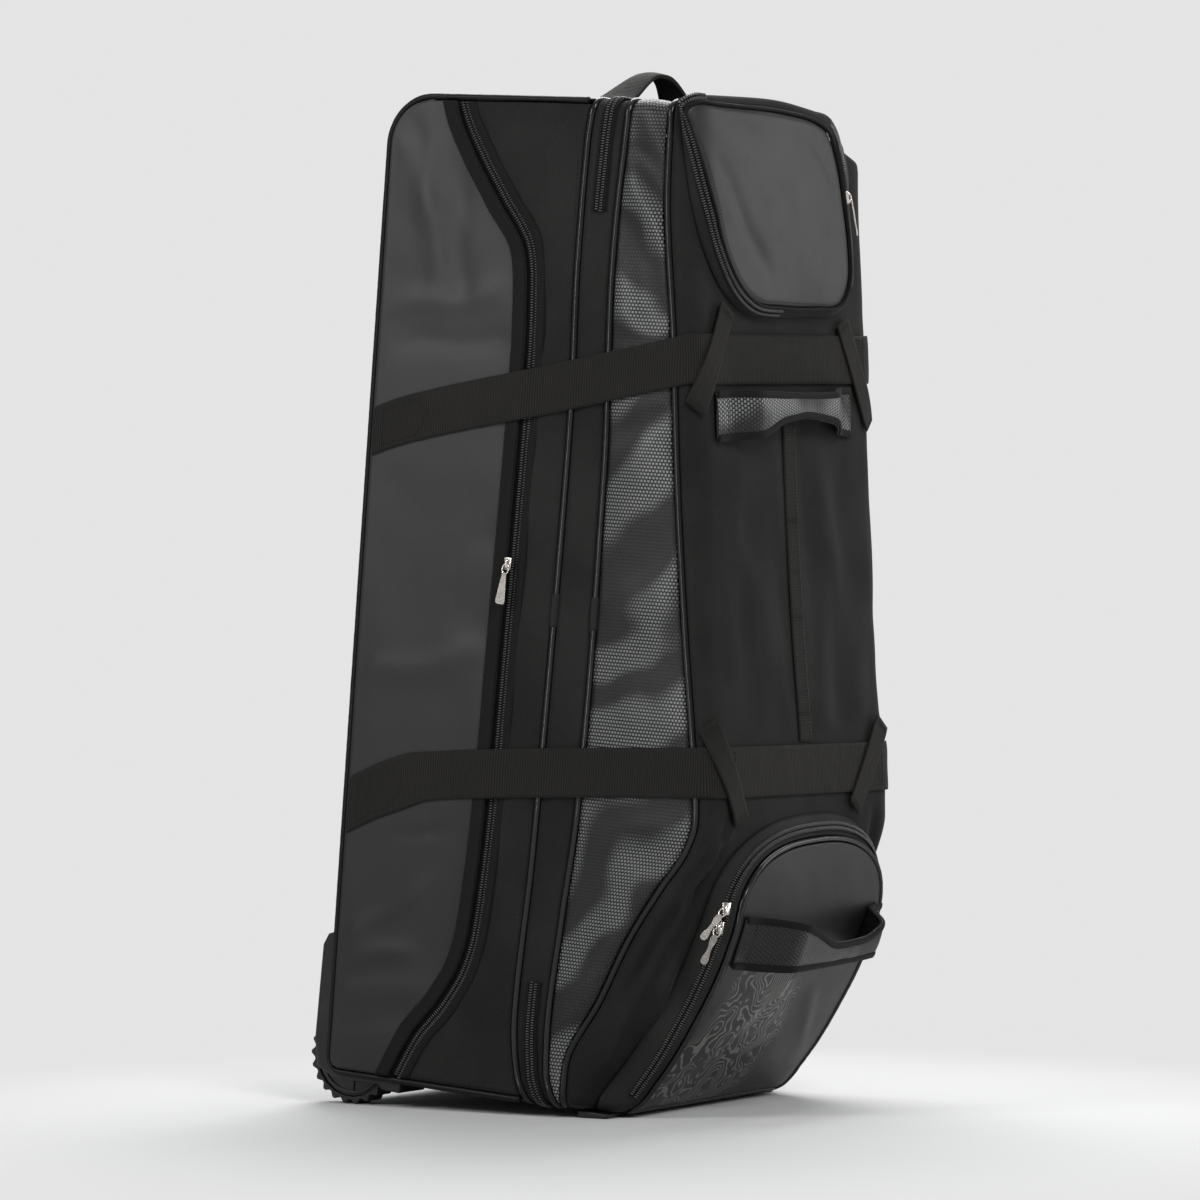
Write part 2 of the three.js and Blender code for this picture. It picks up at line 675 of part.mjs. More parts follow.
[[-1, 'left'], [1, 'right']].forEach(([side, word]) => {
  sheet(`flap_${word}`, 'coated', sideRises.map((rise) => {
    const from = backEdge(rise);
    const to = besideFlap(rise, -1);
    return [from, to].map((depth) => flatSide(side, depth, rise, FLAP_RAISE));
  }), SHELL);
  sheet(`flap_binding_${word}`, 'binding', sideRises.map((rise) => (
    [-BINDING_WIDTH, 0].map((distance) => (
      flatSide(side, besideFlap(rise, distance), rise, FLAP_RAISE + GAP + BINDING_THICK)))
  )), BINDING_THICK);
  sheet(`flap_zip_${word}`, 'coil', sideRises.map((rise) => (
    [GAP, ZIP_WIDTH - 1.5 * GAP].map((distance) => flatSide(side, besideFlap(rise, distance), rise, 0))
  )), ZIP_THICK);
  sheet(`side_panel_${word}`, 'woven', sideRises.map((rise) => {
    const from = besideFlap(rise, ZIP_WIDTH);
    const to = beside(rearLine, rise, -SEAM);
    return [from, to].map((depth) => flatSide(side, depth, rise, 0));
  }), SHELL);
  const edge = [];
  steps(rearLine(HEIGHT) - 2 * SEAM, BACK_ROUND, 4).forEach((depth) => edge.push([depth, HEIGHT - 2]));
  steps(0, Math.PI / 2, 5).slice(1).forEach((turn) => edge.push([
    BACK_ROUND - (BACK_ROUND - 2) * Math.sin(turn),
    HEIGHT - BACK_ROUND + (BACK_ROUND - 2) * Math.cos(turn),
  ]));
  steps(HEIGHT * 0.8, wellTop + 12, 5).forEach((rise) => edge.push([2, rise]));
  steps(0, Math.PI / 2, 3).forEach((turn) => edge.push([
    BASE_ROUND - (BASE_ROUND - 2) * Math.cos(turn),
    BASE_ROUND - BASE_DROP - (BASE_ROUND - 2) * Math.sin(turn),
  ]));
  steps(34, rearLine(-BASE_DROP) - 2 * SEAM, 5).forEach((depth) => edge.push([depth, -BASE_DROP + 2]));
  bar(`piping_side_${word}`, 'piping',
    edge.map(([depth, rise]) => stand(side * (WIDTH / 2 - 2), depth, rise)), PIPING_R);
});

// Front panel, turned round both corners and over the top edge.
const frontRises = [-BASE_DROP + 3].concat(SIDE_RISES, [HEIGHT - 7]);
const frontFlat = WIDTH / 2 - FRONT_ROUND;
const frontRuns = [-frontFlat, frontFlat * 0.4, frontFlat];
const cornerTurns = steps(Math.PI / 2, 0, 3);

function frontRow(rise) {
  const left = [stand(-halfWidth(rise), frontStart(rise), rise)];
  cornerTurns.slice(0, -1).forEach((turn) => left.push(onFront(-frontFlat - FRONT_ROUND * turn, rise)));
  const right = left.map((spot) => new THREE.Vector3(-spot.x, spot.y, spot.z)).reverse();
  return left.concat(frontRuns.map((run) => onFront(run, rise)), right);
}
sheet('front_panel', 'woven', frontRises.map(frontRow), SHELL);

// Upper pocket.
const RIM = 14;
const rimCurve = new THREE.CatmullRomCurve3(UPPER_POCKET.map((row) => (
  new THREE.Vector3(row.across * WIDTH, row.rise * HEIGHT, row.flare))), true, 'centripetal');
const rimSpots = rimCurve.getSpacedPoints(34).slice(0, 34);
const rimCentre = new THREE.Vector2(-0.075 * WIDTH, 0.905 * HEIGHT);

// A place over the front skin that may lie above the top edge, where the skin turns back.
function overFront(run, rise, lift) {
  const over = rise - (HEIGHT - 11);
  if (over <= 0) return onFront(run, rise, lift);
  const spot = onFront(run, HEIGHT - 11, lift);
  return spot.add(stand(0, 0, over)).sub(stand(0, 0, 0));
}

function pulled(spot, distance) {
  const away = new THREE.Vector2(spot.x, spot.y).sub(rimCentre).normalize();
  return [spot.x + away.x * distance, spot.y + away.y * distance];
}

function pocketFoot(spot) {
  const [run, rise] = pulled(spot, spot.z);
  const brim = HEIGHT - 3;
  if (rise <= brim) return overFront(run, rise, GAP + (rise > HEIGHT - 40 ? 3 : 1));
  const foot = overFront(run, brim, GAP + 3);
  return foot.add(stand(0, -6, GAP + 3 + 1)).sub(stand(0, 0, 0));
}

const pocketRings = rimSpots.map((spot) => {
  const foot = pocketFoot(spot);
  const [bellyRun, bellyRise] = pulled(spot, spot.z * 0.75);
  const belly = overFront(bellyRun, bellyRise + (spot.y > HEIGHT * 0.98 ? 5 : 0), RIM * 0.55);
  const [rimRun, rimRise] = pulled(spot, 2.4);
  const rim = overFront(rimRun, rimRise, RIM - 1.2);
  return [foot, belly, rim];
});
const pocketHeart = overFront(rimCentre.x, rimCentre.y, -6);
sheet('upper_pocket_gusset', 'woven', pocketRings, 1.6, pocketHeart, true);

// Panel stretched inside a closed outline, domed towards its middle, as two skins.
function domed(name, look, outline, centre, place, rings, thick) {
  const positions = [];
  const faces = [];
  const count = outline.length;
  [0, -thick].forEach((drop) => {
    const heart = place(centre.x, centre.y, 0, drop);
    positions.push(heart.x, heart.y, heart.z);
    rings.forEach((share) => outline.forEach(([run, rise]) => {
      const spot = place(centre.x + (run - centre.x) * share,
        centre.y + (rise - centre.y) * share, share, drop);
      positions.push(spot.x, spot.y, spot.z);
    }));
  });
  const skin = 1 + rings.length * count;
  const at = (layer, ring, i) => layer * skin + 1 + ring * count + (i % count);
  const edge = rings.length - 1;
  for (let i = 0; i < count; i += 1) {
    faces.push(0, at(0, 0, i), at(0, 0, i + 1));
    faces.push(skin, at(1, 0, i + 1), at(1, 0, i));
    for (let r = 0; r < edge; r += 1) {
      faces.push(at(0, r, i), at(0, r + 1, i), at(0, r + 1, i + 1));
      faces.push(at(0, r, i), at(0, r + 1, i + 1), at(0, r, i + 1));
      faces.push(at(1, r, i), at(1, r + 1, i + 1), at(1, r + 1, i));
      faces.push(at(1, r, i), at(1, r, i + 1), at(1, r + 1, i + 1));
    }
    faces.push(at(0, edge, i), at(1, edge, i), at(1, edge, i + 1));
    faces.push(at(0, edge, i), at(1, edge, i + 1), at(0, edge, i + 1));
  }
  if (signedVolume(positions, faces) < 0) {
    for (let i = 0; i < faces.length; i += 3) {
      [faces[i + 1], faces[i + 2]] = [faces[i + 2], faces[i + 1]];
    }
  }
  return addMesh(name, look, positions, faces);
}
domed('upper_pocket_face', 'coated', rimSpots.map((spot) => pulled(spot, GAP)), rimCentre,
  (run, rise, share, drop) => overFront(run, rise, RIM + 5 * (1 - share * share) + drop),
  [0.5, 1], SHELL);

// Zip round the two flanks and foot of the pocket, laid on the gusset.
function ringZip(name, rings, keep, from, to) {
  const kept = rings.filter((ring, i) => keep(i));
  return sheet(name, 'coil', kept.map(([foot, belly, rim]) => [from, to].map((share) => {
    const out = rim.clone().sub(foot).normalize();
    const spot = mixed(belly, rim, share);
    const sideways = spot.clone().sub(pocketHeart).normalize();
    sideways.addScaledVector(out, -sideways.dot(out)).normalize();
    return spot.addScaledVector(sideways, ZIP_THICK + 2.5 * GAP);
  })), ZIP_THICK, pocketHeart);
}
ringZip('upper_pocket_zip', pocketRings, (i) => i < 12, 0.25, 0.85);

// Boot pocket on the lower front.
const BOOT_HALF = 143;
const BOOT_FOOT_HALF = 151;
const BOOT_TILT = 0.04;
const archPower = 2 / 2.5;
const archTurns = steps(0, Math.PI, 16);

// Outline of the boot pocket from base left, over the arch, to base right.
function bootOutline(half, flare, shoulder, top, low) {
  const side = steps(low, shoulder, 5).slice(0, -1);
  const widen = (rise) => flare * Math.max(0, 1 - (rise - low) / (shoulder - low)) ** 2;
  const left = side.map((rise) => [-(half + widen(rise)), rise]);
  const arch = archTurns.map((turn) => [
    -half * Math.sign(Math.cos(turn)) * Math.abs(Math.cos(turn)) ** archPower,
    shoulder + (top - shoulder) * Math.abs(Math.sin(turn)) ** archPower,
  ]);
  const right = left.map(([x, rise]) => [-x, rise]).reverse();
  return left.concat(arch, right).map(([x, rise]) => [x, rise + BOOT_TILT * x * (rise / top)]);
}
const bootRim = bootOutline(BOOT_HALF, 0, 0.19 * HEIGHT, 0.268 * HEIGHT, -0.012 * HEIGHT);
const bootFoot = bootOutline(BOOT_FOOT_HALF, 16, 0.205 * HEIGHT, 0.293 * HEIGHT, -0.012 * HEIGHT);
const bootHeart = stand(0, frontDepth(0.12 * HEIGHT), 0.12 * HEIGHT);

function bootPoint(x, rise, share, drop) {
  const dome = 5 * (1 - share * share);
  return stand(x, pocketFace(rise) + dome + drop, rise);
}

const bootPipe = (x, rise) => stand(x, pocketFace(rise) - 1.2, rise);
const bootSeam = POCKET_PIPING_R + 3 * GAP;

function bootRing(foot, pipe, push) {
  const rim = pipe.clone().addScaledVector(foot.clone().sub(pipe).normalize(), bootSeam);
  const belly = mixed(foot, rim, 0.55);
  const away = belly.clone().sub(bootHeart).setY(0).normalize();
  return [foot, belly.addScaledVector(away, push), rim];
}
const bootRings = bootRim.map(([x, rise], i) => (
  bootRing(onFront(bootFoot[i][0], bootFoot[i][1], rise < 0 ? 4 : GAP + 1.4), bootPipe(x, rise), 3)));
// Close the gusset under the foot of the pocket.
const underX = steps(-BOOT_HALF, BOOT_HALF, 5).slice(1, -1).reverse();
const underRise = bootRim[0][1];
const underRings = underX.map((x) => (
  bootRing(onFront(x, underRise, GAP + 1.4), bootPipe(x, underRise), 0)));
sheet('boot_pocket_gusset', 'woven', bootRings.concat(underRings), 1.6, bootHeart, true);
const bootLoop = bootRim.concat(underX.map((x) => [x, underRise]));
const bootCentre = new THREE.Vector2(0, 0.12 * HEIGHT);

// The face stops short of the piping by the same distance wherever the face slopes.
function shortOfPiping([x, rise]) {
  const inward = bootCentre.clone().sub(new THREE.Vector2(x, rise)).normalize();
  const here = bootPipe(x, rise);
  const there = bootPipe(x + inward.x * 4, rise + inward.y * 4);
  const shift = (4 * bootSeam) / here.distanceTo(there);
  return [x + inward.x * shift, rise + inward.y * shift];
}
domed('boot_pocket_face', 'coated', bootLoop.map(shortOfPiping), bootCentre, bootPoint,
  [0.5, 1], SHELL);
bar('boot_pocket_piping', 'piping', bootLoop.map(([x, rise]) => bootPipe(x, rise)),
  POCKET_PIPING_R, true);

function bootZip(name, from, to) {
  return sheet(name, 'coil', bootRings.slice(1, -1).map(([foot, belly, rim]) => [from, to].map((share) => {
    const spot = mixed(belly, rim, share);
    const out = rim.clone().sub(foot).normalize();
    const sideways = spot.clone().sub(bootHeart).normalize();
    sideways.addScaledVector(out, -sideways.dot(out)).normalize();
    return spot.addScaledVector(sideways, ZIP_THICK + 2.5 * GAP);
  })), ZIP_THICK, bootHeart);
}
bootZip('boot_pocket_zip', 0.1, 0.6);

// Zip sliders and pulls.

// A slider on a zip with a pull hanging from it; both lie flat over a place and face outward.
function puller(name, place, outward, lean = 0) {
  const up = stand(0, 0, 1).sub(stand(0, 0, 0)).normalize();
  const out = outward.clone().normalize();
  const across = up.clone().cross(out).normalize();
  const rise = out.clone().cross(across).normalize();
  const frame = new THREE.Matrix4().makeBasis(across, rise, out);
  const body = new THREE.BoxGeometry(9, 13, 4);
  body.applyMatrix4(frame);
  body.translate(...place.clone().addScaledVector(out, 2.2 + GAP).toArray());
  addPiece(`${name}_slider`, 'nickel', body);
  const shape = new THREE.Shape();
  const half = PULL_WIDTH / 2;
  shape.moveTo(-half * 0.7, 0);
  shape.lineTo(half * 0.7, 0);
  shape.lineTo(half * 0.6, -PULL_LENGTH * 0.55);
  shape.lineTo(half, -PULL_LENGTH * 0.8);
  shape.lineTo(half * 0.8, -PULL_LENGTH);
  shape.lineTo(-half * 0.8, -PULL_LENGTH);
  shape.lineTo(-half, -PULL_LENGTH * 0.8);
  shape.lineTo(-half * 0.6, -PULL_LENGTH * 0.55);
  const tab = new THREE.ExtrudeGeometry(shape, { depth: 1.6, bevelEnabled: false });
  tab.rotateZ(lean);
  tab.applyMatrix4(frame);
  tab.translate(...place.clone().addScaledVector(out, 4.4 + 2 * GAP).toArray());
  addPiece(`${name}_pull`, 'nickel', tab);
}
[[-1, 'left'], [1, 'right']].forEach(([side, word]) => {
  const rise = 0.528 * HEIGHT;
  const place = flatSide(side, besideFlap(rise, 5), rise, 2.2 * 2 + GAP);
  puller(`flap_zip_${word}`, place, new THREE.Vector3(side, 0, 0), side * 0.1);
});

// Sliders on the pocket zips sit over the gusset at a ring, part way towards the rim.
function ringPuller(name, [foot, belly, rim], heart, share, lift, lean) {
  const out = rim.clone().sub(foot).normalize();
  const spot = mixed(belly, rim, share);
  const sideways = spot.clone().sub(heart).normalize();
  sideways.addScaledVector(out, -sideways.dot(out)).normalize();
  puller(name, spot.addScaledVector(sideways, lift), sideways, lean);
}
const between = (first, second, share) => first.map((spot, i) => mixed(spot, second[i], share));
const overZip = ZIP_THICK + 9 * GAP;
ringPuller('boot_zip_high', between(bootRings[5], bootRings[6], 0.4), bootHeart, 0.35, overZip, -0.55);
ringPuller('boot_zip_low', between(bootRings[4], bootRings[5], 0.75), bootHeart, 0.35, overZip + 0.7, -0.3);
ringPuller('upper_zip', pocketRings[24], pocketHeart, 0.55, 2 * GAP, 0.15);

// Main straps, laid over the pipings.
function strapLift(depth, rise) {
  const marks = [
    [besideFlap(rise, -BINDING_WIDTH - 8), FLAP_RAISE],
    [besideFlap(rise, -BINDING_WIDTH - 1), FLAP_RAISE + BINDING_THICK + GAP],
    [besideFlap(rise, 1), FLAP_RAISE + BINDING_THICK + GAP],
    [besideFlap(rise, ZIP_WIDTH + 6), 0],
    [rearLine(rise) - 12, 0],
    [rearLine(rise) - 3, PIPING_R],
    [rearLine(rise) + 3, PIPING_R],
    [rearLine(rise) + 12, 0.6],
    [bandLine(rise) - 12, 0.6],
    [bandLine(rise) - 3, PIPING_R],
    [bandLine(rise) + 3, PIPING_R + 1],
    [bandLine(rise) + 14, panelBulge],
    [cornerLine(rise) - 14, panelBulge],
    [cornerLine(rise) - 3, PIPING_R + 0.6],
    [cornerLine(rise) + 3, PIPING_R],
    [cornerLine(rise) + 14, 0.6],
  ];
  if (depth <= marks[0][0]) return marks[0][1];
  const after = marks.findIndex(([mark]) => mark > depth);
  if (after < 0) return marks[marks.length - 1][1];
  const [fromDepth, fromLift] = marks[after - 1];
  const [toDepth, toLift] = marks[after];
  return fromLift + ((toLift - fromLift) * (depth - fromDepth)) / (toDepth - fromDepth);
}

// endWidth is how wide the strap is where it is sewn on behind the flap's zip.
function strap(name, risesTable, tilt, endWidth) {
  const riseAt = through(risesTable, 'reach', 'rise', DEPTH, HEIGHT);
  const half = WEBBING / 2;
  const spread = (endWidth - WEBBING) / 2;
  const under = GAP + WEBBING_THICK;
  const frontEnd = risesTable[risesTable.length - 1].reach * DEPTH;
  const left = [];
  const depths = [];
  const level = riseAt(0.5 * DEPTH);
  const seam = cornerLine(riseAt(frontEnd));
  [8, 40, 64, 86, 110].forEach((depth) => depths.push(depth));
  const near = (line, spread) => spread.map((step) => line + step);
  depths.push(...near(besideFlap(level, 0), [-24, -16, 2, ZIP_WIDTH + 8]));
  depths.push(...near(rearLine(level), [-13, -4, 4]));
  depths.push(...near((rearLine(level) + bandLine(level)) / 2, [0]));
  depths.push(...near(bandLine(level), [-4, 4, 15]));
  depths.push(...near((bandLine(level) + seam) / 2, [0]));
  depths.push(...near(seam, [-15, -4, 4]));
  depths.forEach((depth) => {
    const rise = riseAt(depth);
    const reach = half + spread * (1 - eased(0.15 * DEPTH, 0.26 * DEPTH, depth));
    left.push([-reach, reach].map((offset) => (
      flatSide(-1, depth, rise + offset, strapLift(depth, rise) + under))));
  });
  const frontRise = riseAt(frontEnd);
  const flat = WIDTH / 2 - FRONT_ROUND;
  const cornerRuns = steps(flat + FRONT_ROUND * 1.1, flat, 3);
  const runs = cornerRuns.map((run) => -run).concat([-flat * 0.5, 0]);
  runs.forEach((run) => left.push([-half, half].map((offset) => (
    onFront(run, frontRise + offset, 1.4 + under)))));
  const right = left.slice(0, -1).map((row) => row.map((spot) => (
    new THREE.Vector3(-spot.x, spot.y, spot.z)))).reverse();
  const grid = left.concat(right);
  grid.forEach((row) => row.forEach((spot) => spot.setZ(spot.z + tilt * (spot.x + WIDTH / 2))));
  return sheet(name, 'webbing', grid, WEBBING_THICK);
}
strap('upper_strap', UPPER_STRAP_RISE, 0.05, WEBBING);
strap('lower_strap', LOWER_STRAP_RISE, 0, STRAP_END);

// Strip of webbing down the middle of the front between the two straps.
const stripLow = LOWER_STRAP_RISE[5].rise * HEIGHT + WEBBING / 2 + 3;
const stripHigh = UPPER_STRAP_RISE[5].rise * HEIGHT - WEBBING / 2 - 3;
sheet('webbing_strip', 'webbing', steps(stripLow, stripHigh, 8).map((rise) => (
  [-STRIP_WIDTH / 2, STRIP_WIDTH / 2].map((run) => onFront(run, rise, GAP + 1.2)))), 1.2);

// Narrow cinch straps, lying over the main straps.
CINCHES.forEach(({ name, from, to }) => {
  const start = new THREE.Vector2(from[0] * WIDTH, from[1] * HEIGHT);
  const end = new THREE.Vector2(to[0] * WIDTH, to[1] * HEIGHT);
  const along = end.clone().sub(start).normalize();
  const across = new THREE.Vector2(-along.y, along.x).multiplyScalar(NARROW / 2);
  sheet(name, 'webbing', steps(0, 1, 10).map((share) => {
    const spot = start.clone().lerp(end, share);
    const high = 1.4 + 2 * (GAP + WEBBING_THICK) + GAP;
    return [-1, 0, 1].map((k) => onFront(spot.x + across.x * k, spot.y + across.y * k, high));
  }), WEBBING_THICK);
});

// Handles.
const topSteps = steps(-1, 1, 16);
sheet('top_handle', 'webbing', topSteps.map((share) => {
  const x = (share * TOP_HANDLE_SPAN) / 2;
  const inner = Math.min(1, Math.max(0, (0.88 - Math.abs(share)) / 0.2));
  const climb = inner * inner * (3 - 2 * inner);
  const crown = 1 - 0.35 * share * share;
  const rise = HEIGHT + GAP + 3 + TOP_HANDLE_RISE * climb * crown;
  return [-0.5, 0, 0.5].map((k) => stand(x, TOP_HANDLE_DEPTH + k * TOP_HANDLE_WIDTH,
    rise + (k === 0 ? 1 : 0)));
}), 3, stand(0, TOP_HANDLE_DEPTH, HEIGHT - 60));

function grab(name, table, bow, place) {
  const from = table[0].across * WIDTH;
  const to = table[table.length - 1].across * WIDTH;
  const low = through(table, 'across', 'low', WIDTH, HEIGHT);
  const high = through(table, 'across', 'high', WIDTH, HEIGHT);
  const grid = steps(0, 1, 18).map((share) => {
    const run = from + (to - from) * share;
    const middle = Math.abs(2 * share - 1);
    const tab = Math.min(1, Math.max(0, (0.86 - middle) / 0.3));
    const out = GAP + GRAB_THICK + bow * tab * tab * (3 - 2 * tab);
    return [0, 0.5, 1].map((k) => (
      place(run, low(run) + (high(run) - low(run)) * k, out + (k === 0.5 ? 1 : 0))));
  });
  return sheet(name, 'embossed', grid, GRAB_THICK);
}
grab('grab_handle_upper', UPPER_GRAB, GRAB_BOW, onFront);
grab('grab_handle_lower', LOWER_GRAB, LOW_GRAB_BOW, (run, rise, out) => (
  bootPoint(run, rise, Math.min(1, Math.abs(run) / BOOT_HALF), out)));

// Wheels and housings.
[[-1, 'left'], [1, 'right']].forEach(([side, word]) => {
  const x0 = side * (WIDTH / 2 - WHEEL_INSET - WHEEL_WIDTH);
  const x1 = side * (WIDTH / 2 - WHEEL_INSET);
  const span = (a, b) => [Math.min(a, b), Math.max(a, b)];
  const [near, far] = span(x0, x1);
  const round = (radius, a, b, sides) => disc(WHEEL_DEPTH, WHEEL_RISE, radius, ...span(a, b), sides);
  const bore = round(AXLE_R + GAP, near - 1, far + 1, 20);
  const hub = round(WHEEL_R - TREAD - GAP, near + 2, far - 2, LUGS).subtract(bore);
  addManifold(`wheel_hub_${word}`, 'plastic', hub);
  const rows = [];
  for (let i = 0; i < LUGS * 4; i += 1) {
    const radius = i % 4 < 2 ? WHEEL_R : WHEEL_R - 4;
    const turn = (2 * Math.PI * (i + (i % 2 ? -0.12 : 0.12))) / (LUGS * 4);
    rows.push([WHEEL_DEPTH + radius * Math.cos(turn), WHEEL_RISE + radius * Math.sin(turn)]);
  }
  const tread = plate(rows, near, far).subtract(round(WHEEL_R - TREAD, near - 1, far + 1, LUGS));
  addManifold(`tyre_${word}`, 'tyre', tread);
  const wellSpan = [near - WELL_CLEAR, far + WELL_CLEAR];
  const axle = round(AXLE_R, wellSpan[0] - 2.5, wellSpan[1] + 2.5, 20);
  addManifold(`axle_${word}`, 'nickel', axle);
  const outline = [
    [-GUARD_THICK + 2.5, -8],
    [-GUARD_THICK - 2.5, 20],
    [-GUARD_THICK, GUARD_HEIGHT - 15],
    [-GUARD_THICK + 5.5, GUARD_HEIGHT - 4],
    [-GAP, GUARD_HEIGHT],
    [-GAP, wellTop],
    [wellFront, wellTop],
    [wellFront, -BASE_DROP - GAP],
    [wellFront + 12, -BASE_DROP - GAP],
    [wellFront + 11, -23],
    [wellFront - 11, -22],
    [wellFront - 14, -17],
    [20, -18],
    [2, -15],
  ];
  const [inner, outer] = side < 0 ? [OUTER_CHEEK, CHEEK] : [CHEEK, OUTER_CHEEK];
  let shell = plate(outline, wellSpan[0] - inner, wellSpan[1] + outer);
  const wheelRoom = round(WHEEL_R + WELL_CLEAR, ...wellSpan, 32);
  shell = shell.subtract(wheelRoom);
  shell = shell.subtract(block(...wellSpan, -60, WHEEL_DEPTH, -60, WHEEL_RISE));
  shell = shell.subtract(round(AXLE_R + GAP, wellSpan[0] - 3, wellSpan[1] + 3, 20));
  addManifold(`wheel_housing_${word}`, 'plastic', shell);
});

// Feet under the front corners of the base, level with the foot of the wheels.
function riseOverFloor(depth, height) {
  const floor = stand(0, WHEEL_DEPTH, WHEEL_RISE).z - WHEEL_R + height;
  return (floor + depth * Math.sin(LEAN)) / Math.cos(LEAN);
}
const footBack = 0.672 * DEPTH;
const footFront = 0.755 * DEPTH;
const footOutline = [
  [footBack, -BASE_DROP - GAP - 1.6],
  [footFront, -BASE_DROP - GAP - 1.6],
  [footFront - 2, riseOverFloor(footFront - 2, 0)],
  [footBack + 2, riseOverFloor(footBack + 2, 0)],
];
addManifold('base_foot_left', 'plastic', plate(footOutline, -WIDTH * 0.455, -WIDTH * 0.345));
addManifold('base_foot_right', 'plastic', plate(footOutline, WIDTH * 0.345, WIDTH * 0.455));

// Settle the bag on the floor, centred on its own extent.
const extent = new THREE.Box3().setFromObject(bag);
const middle = extent.getCenter(new THREE.Vector3());
bag.children.forEach((piece) => piece.geometry.translate(-middle.x, -middle.y, -extent.min.z));

export default bag;
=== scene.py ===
"""A wheeled kit bag standing on its wheel end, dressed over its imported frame. Metres, +Z up."""
import logging
import math
from bisect import bisect_right
from dataclasses import dataclass, field
from enum import Enum
from typing import Callable, Iterable, Sequence, Union

import bmesh
import bpy
from mathutils import Matrix, Vector, noise


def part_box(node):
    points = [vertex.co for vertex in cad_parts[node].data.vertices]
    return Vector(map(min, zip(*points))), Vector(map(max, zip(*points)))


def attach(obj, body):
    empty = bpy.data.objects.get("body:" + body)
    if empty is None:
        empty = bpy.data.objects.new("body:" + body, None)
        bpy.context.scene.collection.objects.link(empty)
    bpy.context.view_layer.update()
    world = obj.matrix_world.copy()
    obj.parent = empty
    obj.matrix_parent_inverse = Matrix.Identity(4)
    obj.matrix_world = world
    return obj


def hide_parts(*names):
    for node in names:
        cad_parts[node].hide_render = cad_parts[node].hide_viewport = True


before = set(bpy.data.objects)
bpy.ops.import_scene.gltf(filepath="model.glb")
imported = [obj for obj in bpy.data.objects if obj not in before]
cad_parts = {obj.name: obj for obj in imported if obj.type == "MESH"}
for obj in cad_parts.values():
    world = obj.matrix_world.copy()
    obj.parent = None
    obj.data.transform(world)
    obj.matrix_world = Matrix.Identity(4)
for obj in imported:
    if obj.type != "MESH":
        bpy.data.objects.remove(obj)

LOG = logging.getLogger("kit_bag")
BAG = "bag"
# Half sizes of a stitch and of a zip's tooth, the pitch of the teeth and how far a row of them is from the middle.
STITCH = (0.0013, 0.00038, 0.00038)
TOOTH = (0.00078, 0.0024, 0.00125)
COIL_PITCH = 0.0025
COIL_HALF = 0.0025
Mesh = bmesh.types.BMesh
Material = bpy.types.Material
Piece = bpy.types.Object
Socket = bpy.types.NodeSocket
Track = list[tuple[Vector, Vector, Vector]]
Line = Callable[[float], float]
Place = Callable[[float, float], Vector]
Chart = Callable[[float, float], tuple[float, float]]
Relief = Callable[[float, Vector], float]


class Look(Enum):
    """The finishes, each named by its material slot."""

    COATED = "coated_cloth"
    WOVEN = "woven_cloth"
    EMBOSSED = "embossed_cloth"
    PIPING = "piping"
    WEBBING = "webbing"
    BINDING = "binding"
    COIL = "zip_coil"
    NICKEL = "nickel"
    MOULDED = "moulded_plastic"
    RUBBER = "tyre_rubber"


# Shader maths


Term = Union["Amount", float]


class Amount:
    """A number socket that can be added, multiplied and compared in Python."""

    def __init__(self, bench: "Bench", socket: Socket) -> None:
        """Keeps the bench and the socket."""
        self.bench = bench
        self.socket = socket

    def _do(self, operation: str, *others: Term, flip: bool = False) -> "Amount":
        """Adds one Math node.

        Args:
            operation: the Math node's operation.
            others: what stands after this amount.
            flip: puts this amount last.

        Returns:
            The node's result.
        """
        terms = [self, *others]
        if flip:
            terms.reverse()
        node = self.bench.node("ShaderNodeMath", {"operation": operation}, dict(enumerate(terms)))
        return Amount(self.bench, node.outputs[0])

    def __add__(self, other: Term) -> "Amount":
        """This plus another."""
        return self._do("ADD", other)

    def __sub__(self, other: Term) -> "Amount":
        """This less another."""
        return self._do("SUBTRACT", other)

    def __rsub__(self, other: float) -> "Amount":
        """A number less this."""
        return self._do("SUBTRACT", other, flip=True)

    def __mul__(self, other: Term) -> "Amount":
        """This times another."""
        return self._do("MULTIPLY", other)

    def __truediv__(self, other: Term) -> "Amount":
        """This divided by another."""
        return self._do("DIVIDE", other)

    __radd__ = __add__
    __rmul__ = __mul__

    def sine(self) -> "Amount":
        """The sine of this."""
        return self._do("SINE")

    def part(self) -> "Amount":
        """What is left after the whole number."""
        return self._do("FRACT")

    def size(self) -> "Amount":
        """This without its sign."""
        return self._do("ABSOLUTE")

    def ramp(self, low: float, high: float) -> "Amount":
        """Runs smoothly from 0 at low to 1 at high."""
        settings = {"interpolation_type": "SMOOTHSTEP", "clamp": True}
        node = self.bench.node("ShaderNodeMapRange", settings, {"Value": self, "From Min": low, "From Max": high})
        return Amount(self.bench, node.outputs[0])


class Graph:
    """A node tree being wired."""

    def __init__(self, tree: bpy.types.NodeTree) -> None:
        """Keeps the tree."""
        self.tree = tree

    def node(self, kind: str, settings: dict | None = None, inputs: dict | None = None) -> bpy.types.Node:
        """Adds any node.

        Args:
            kind: the node's type.
            settings: its settings, which are set first.
            inputs: values or links for its sockets, by name or number.

        Returns:
            The new node.
        """
        made = self.tree.nodes.new(kind)
        for key, value in (settings or {}).items():
            setattr(made, key, value)
        for key, value in (inputs or {}).items():
            self.join(made.inputs[key], value)
        return made

    def join(self, socket: Socket, value: object) -> None:
        """Links a socket to an amount or socket, or sets its value."""
        if isinstance(value, Amount):
            value = value.socket
        if isinstance(value, Socket):
            self.tree.links.new(value, socket)
        else:
            socket.default_value = value


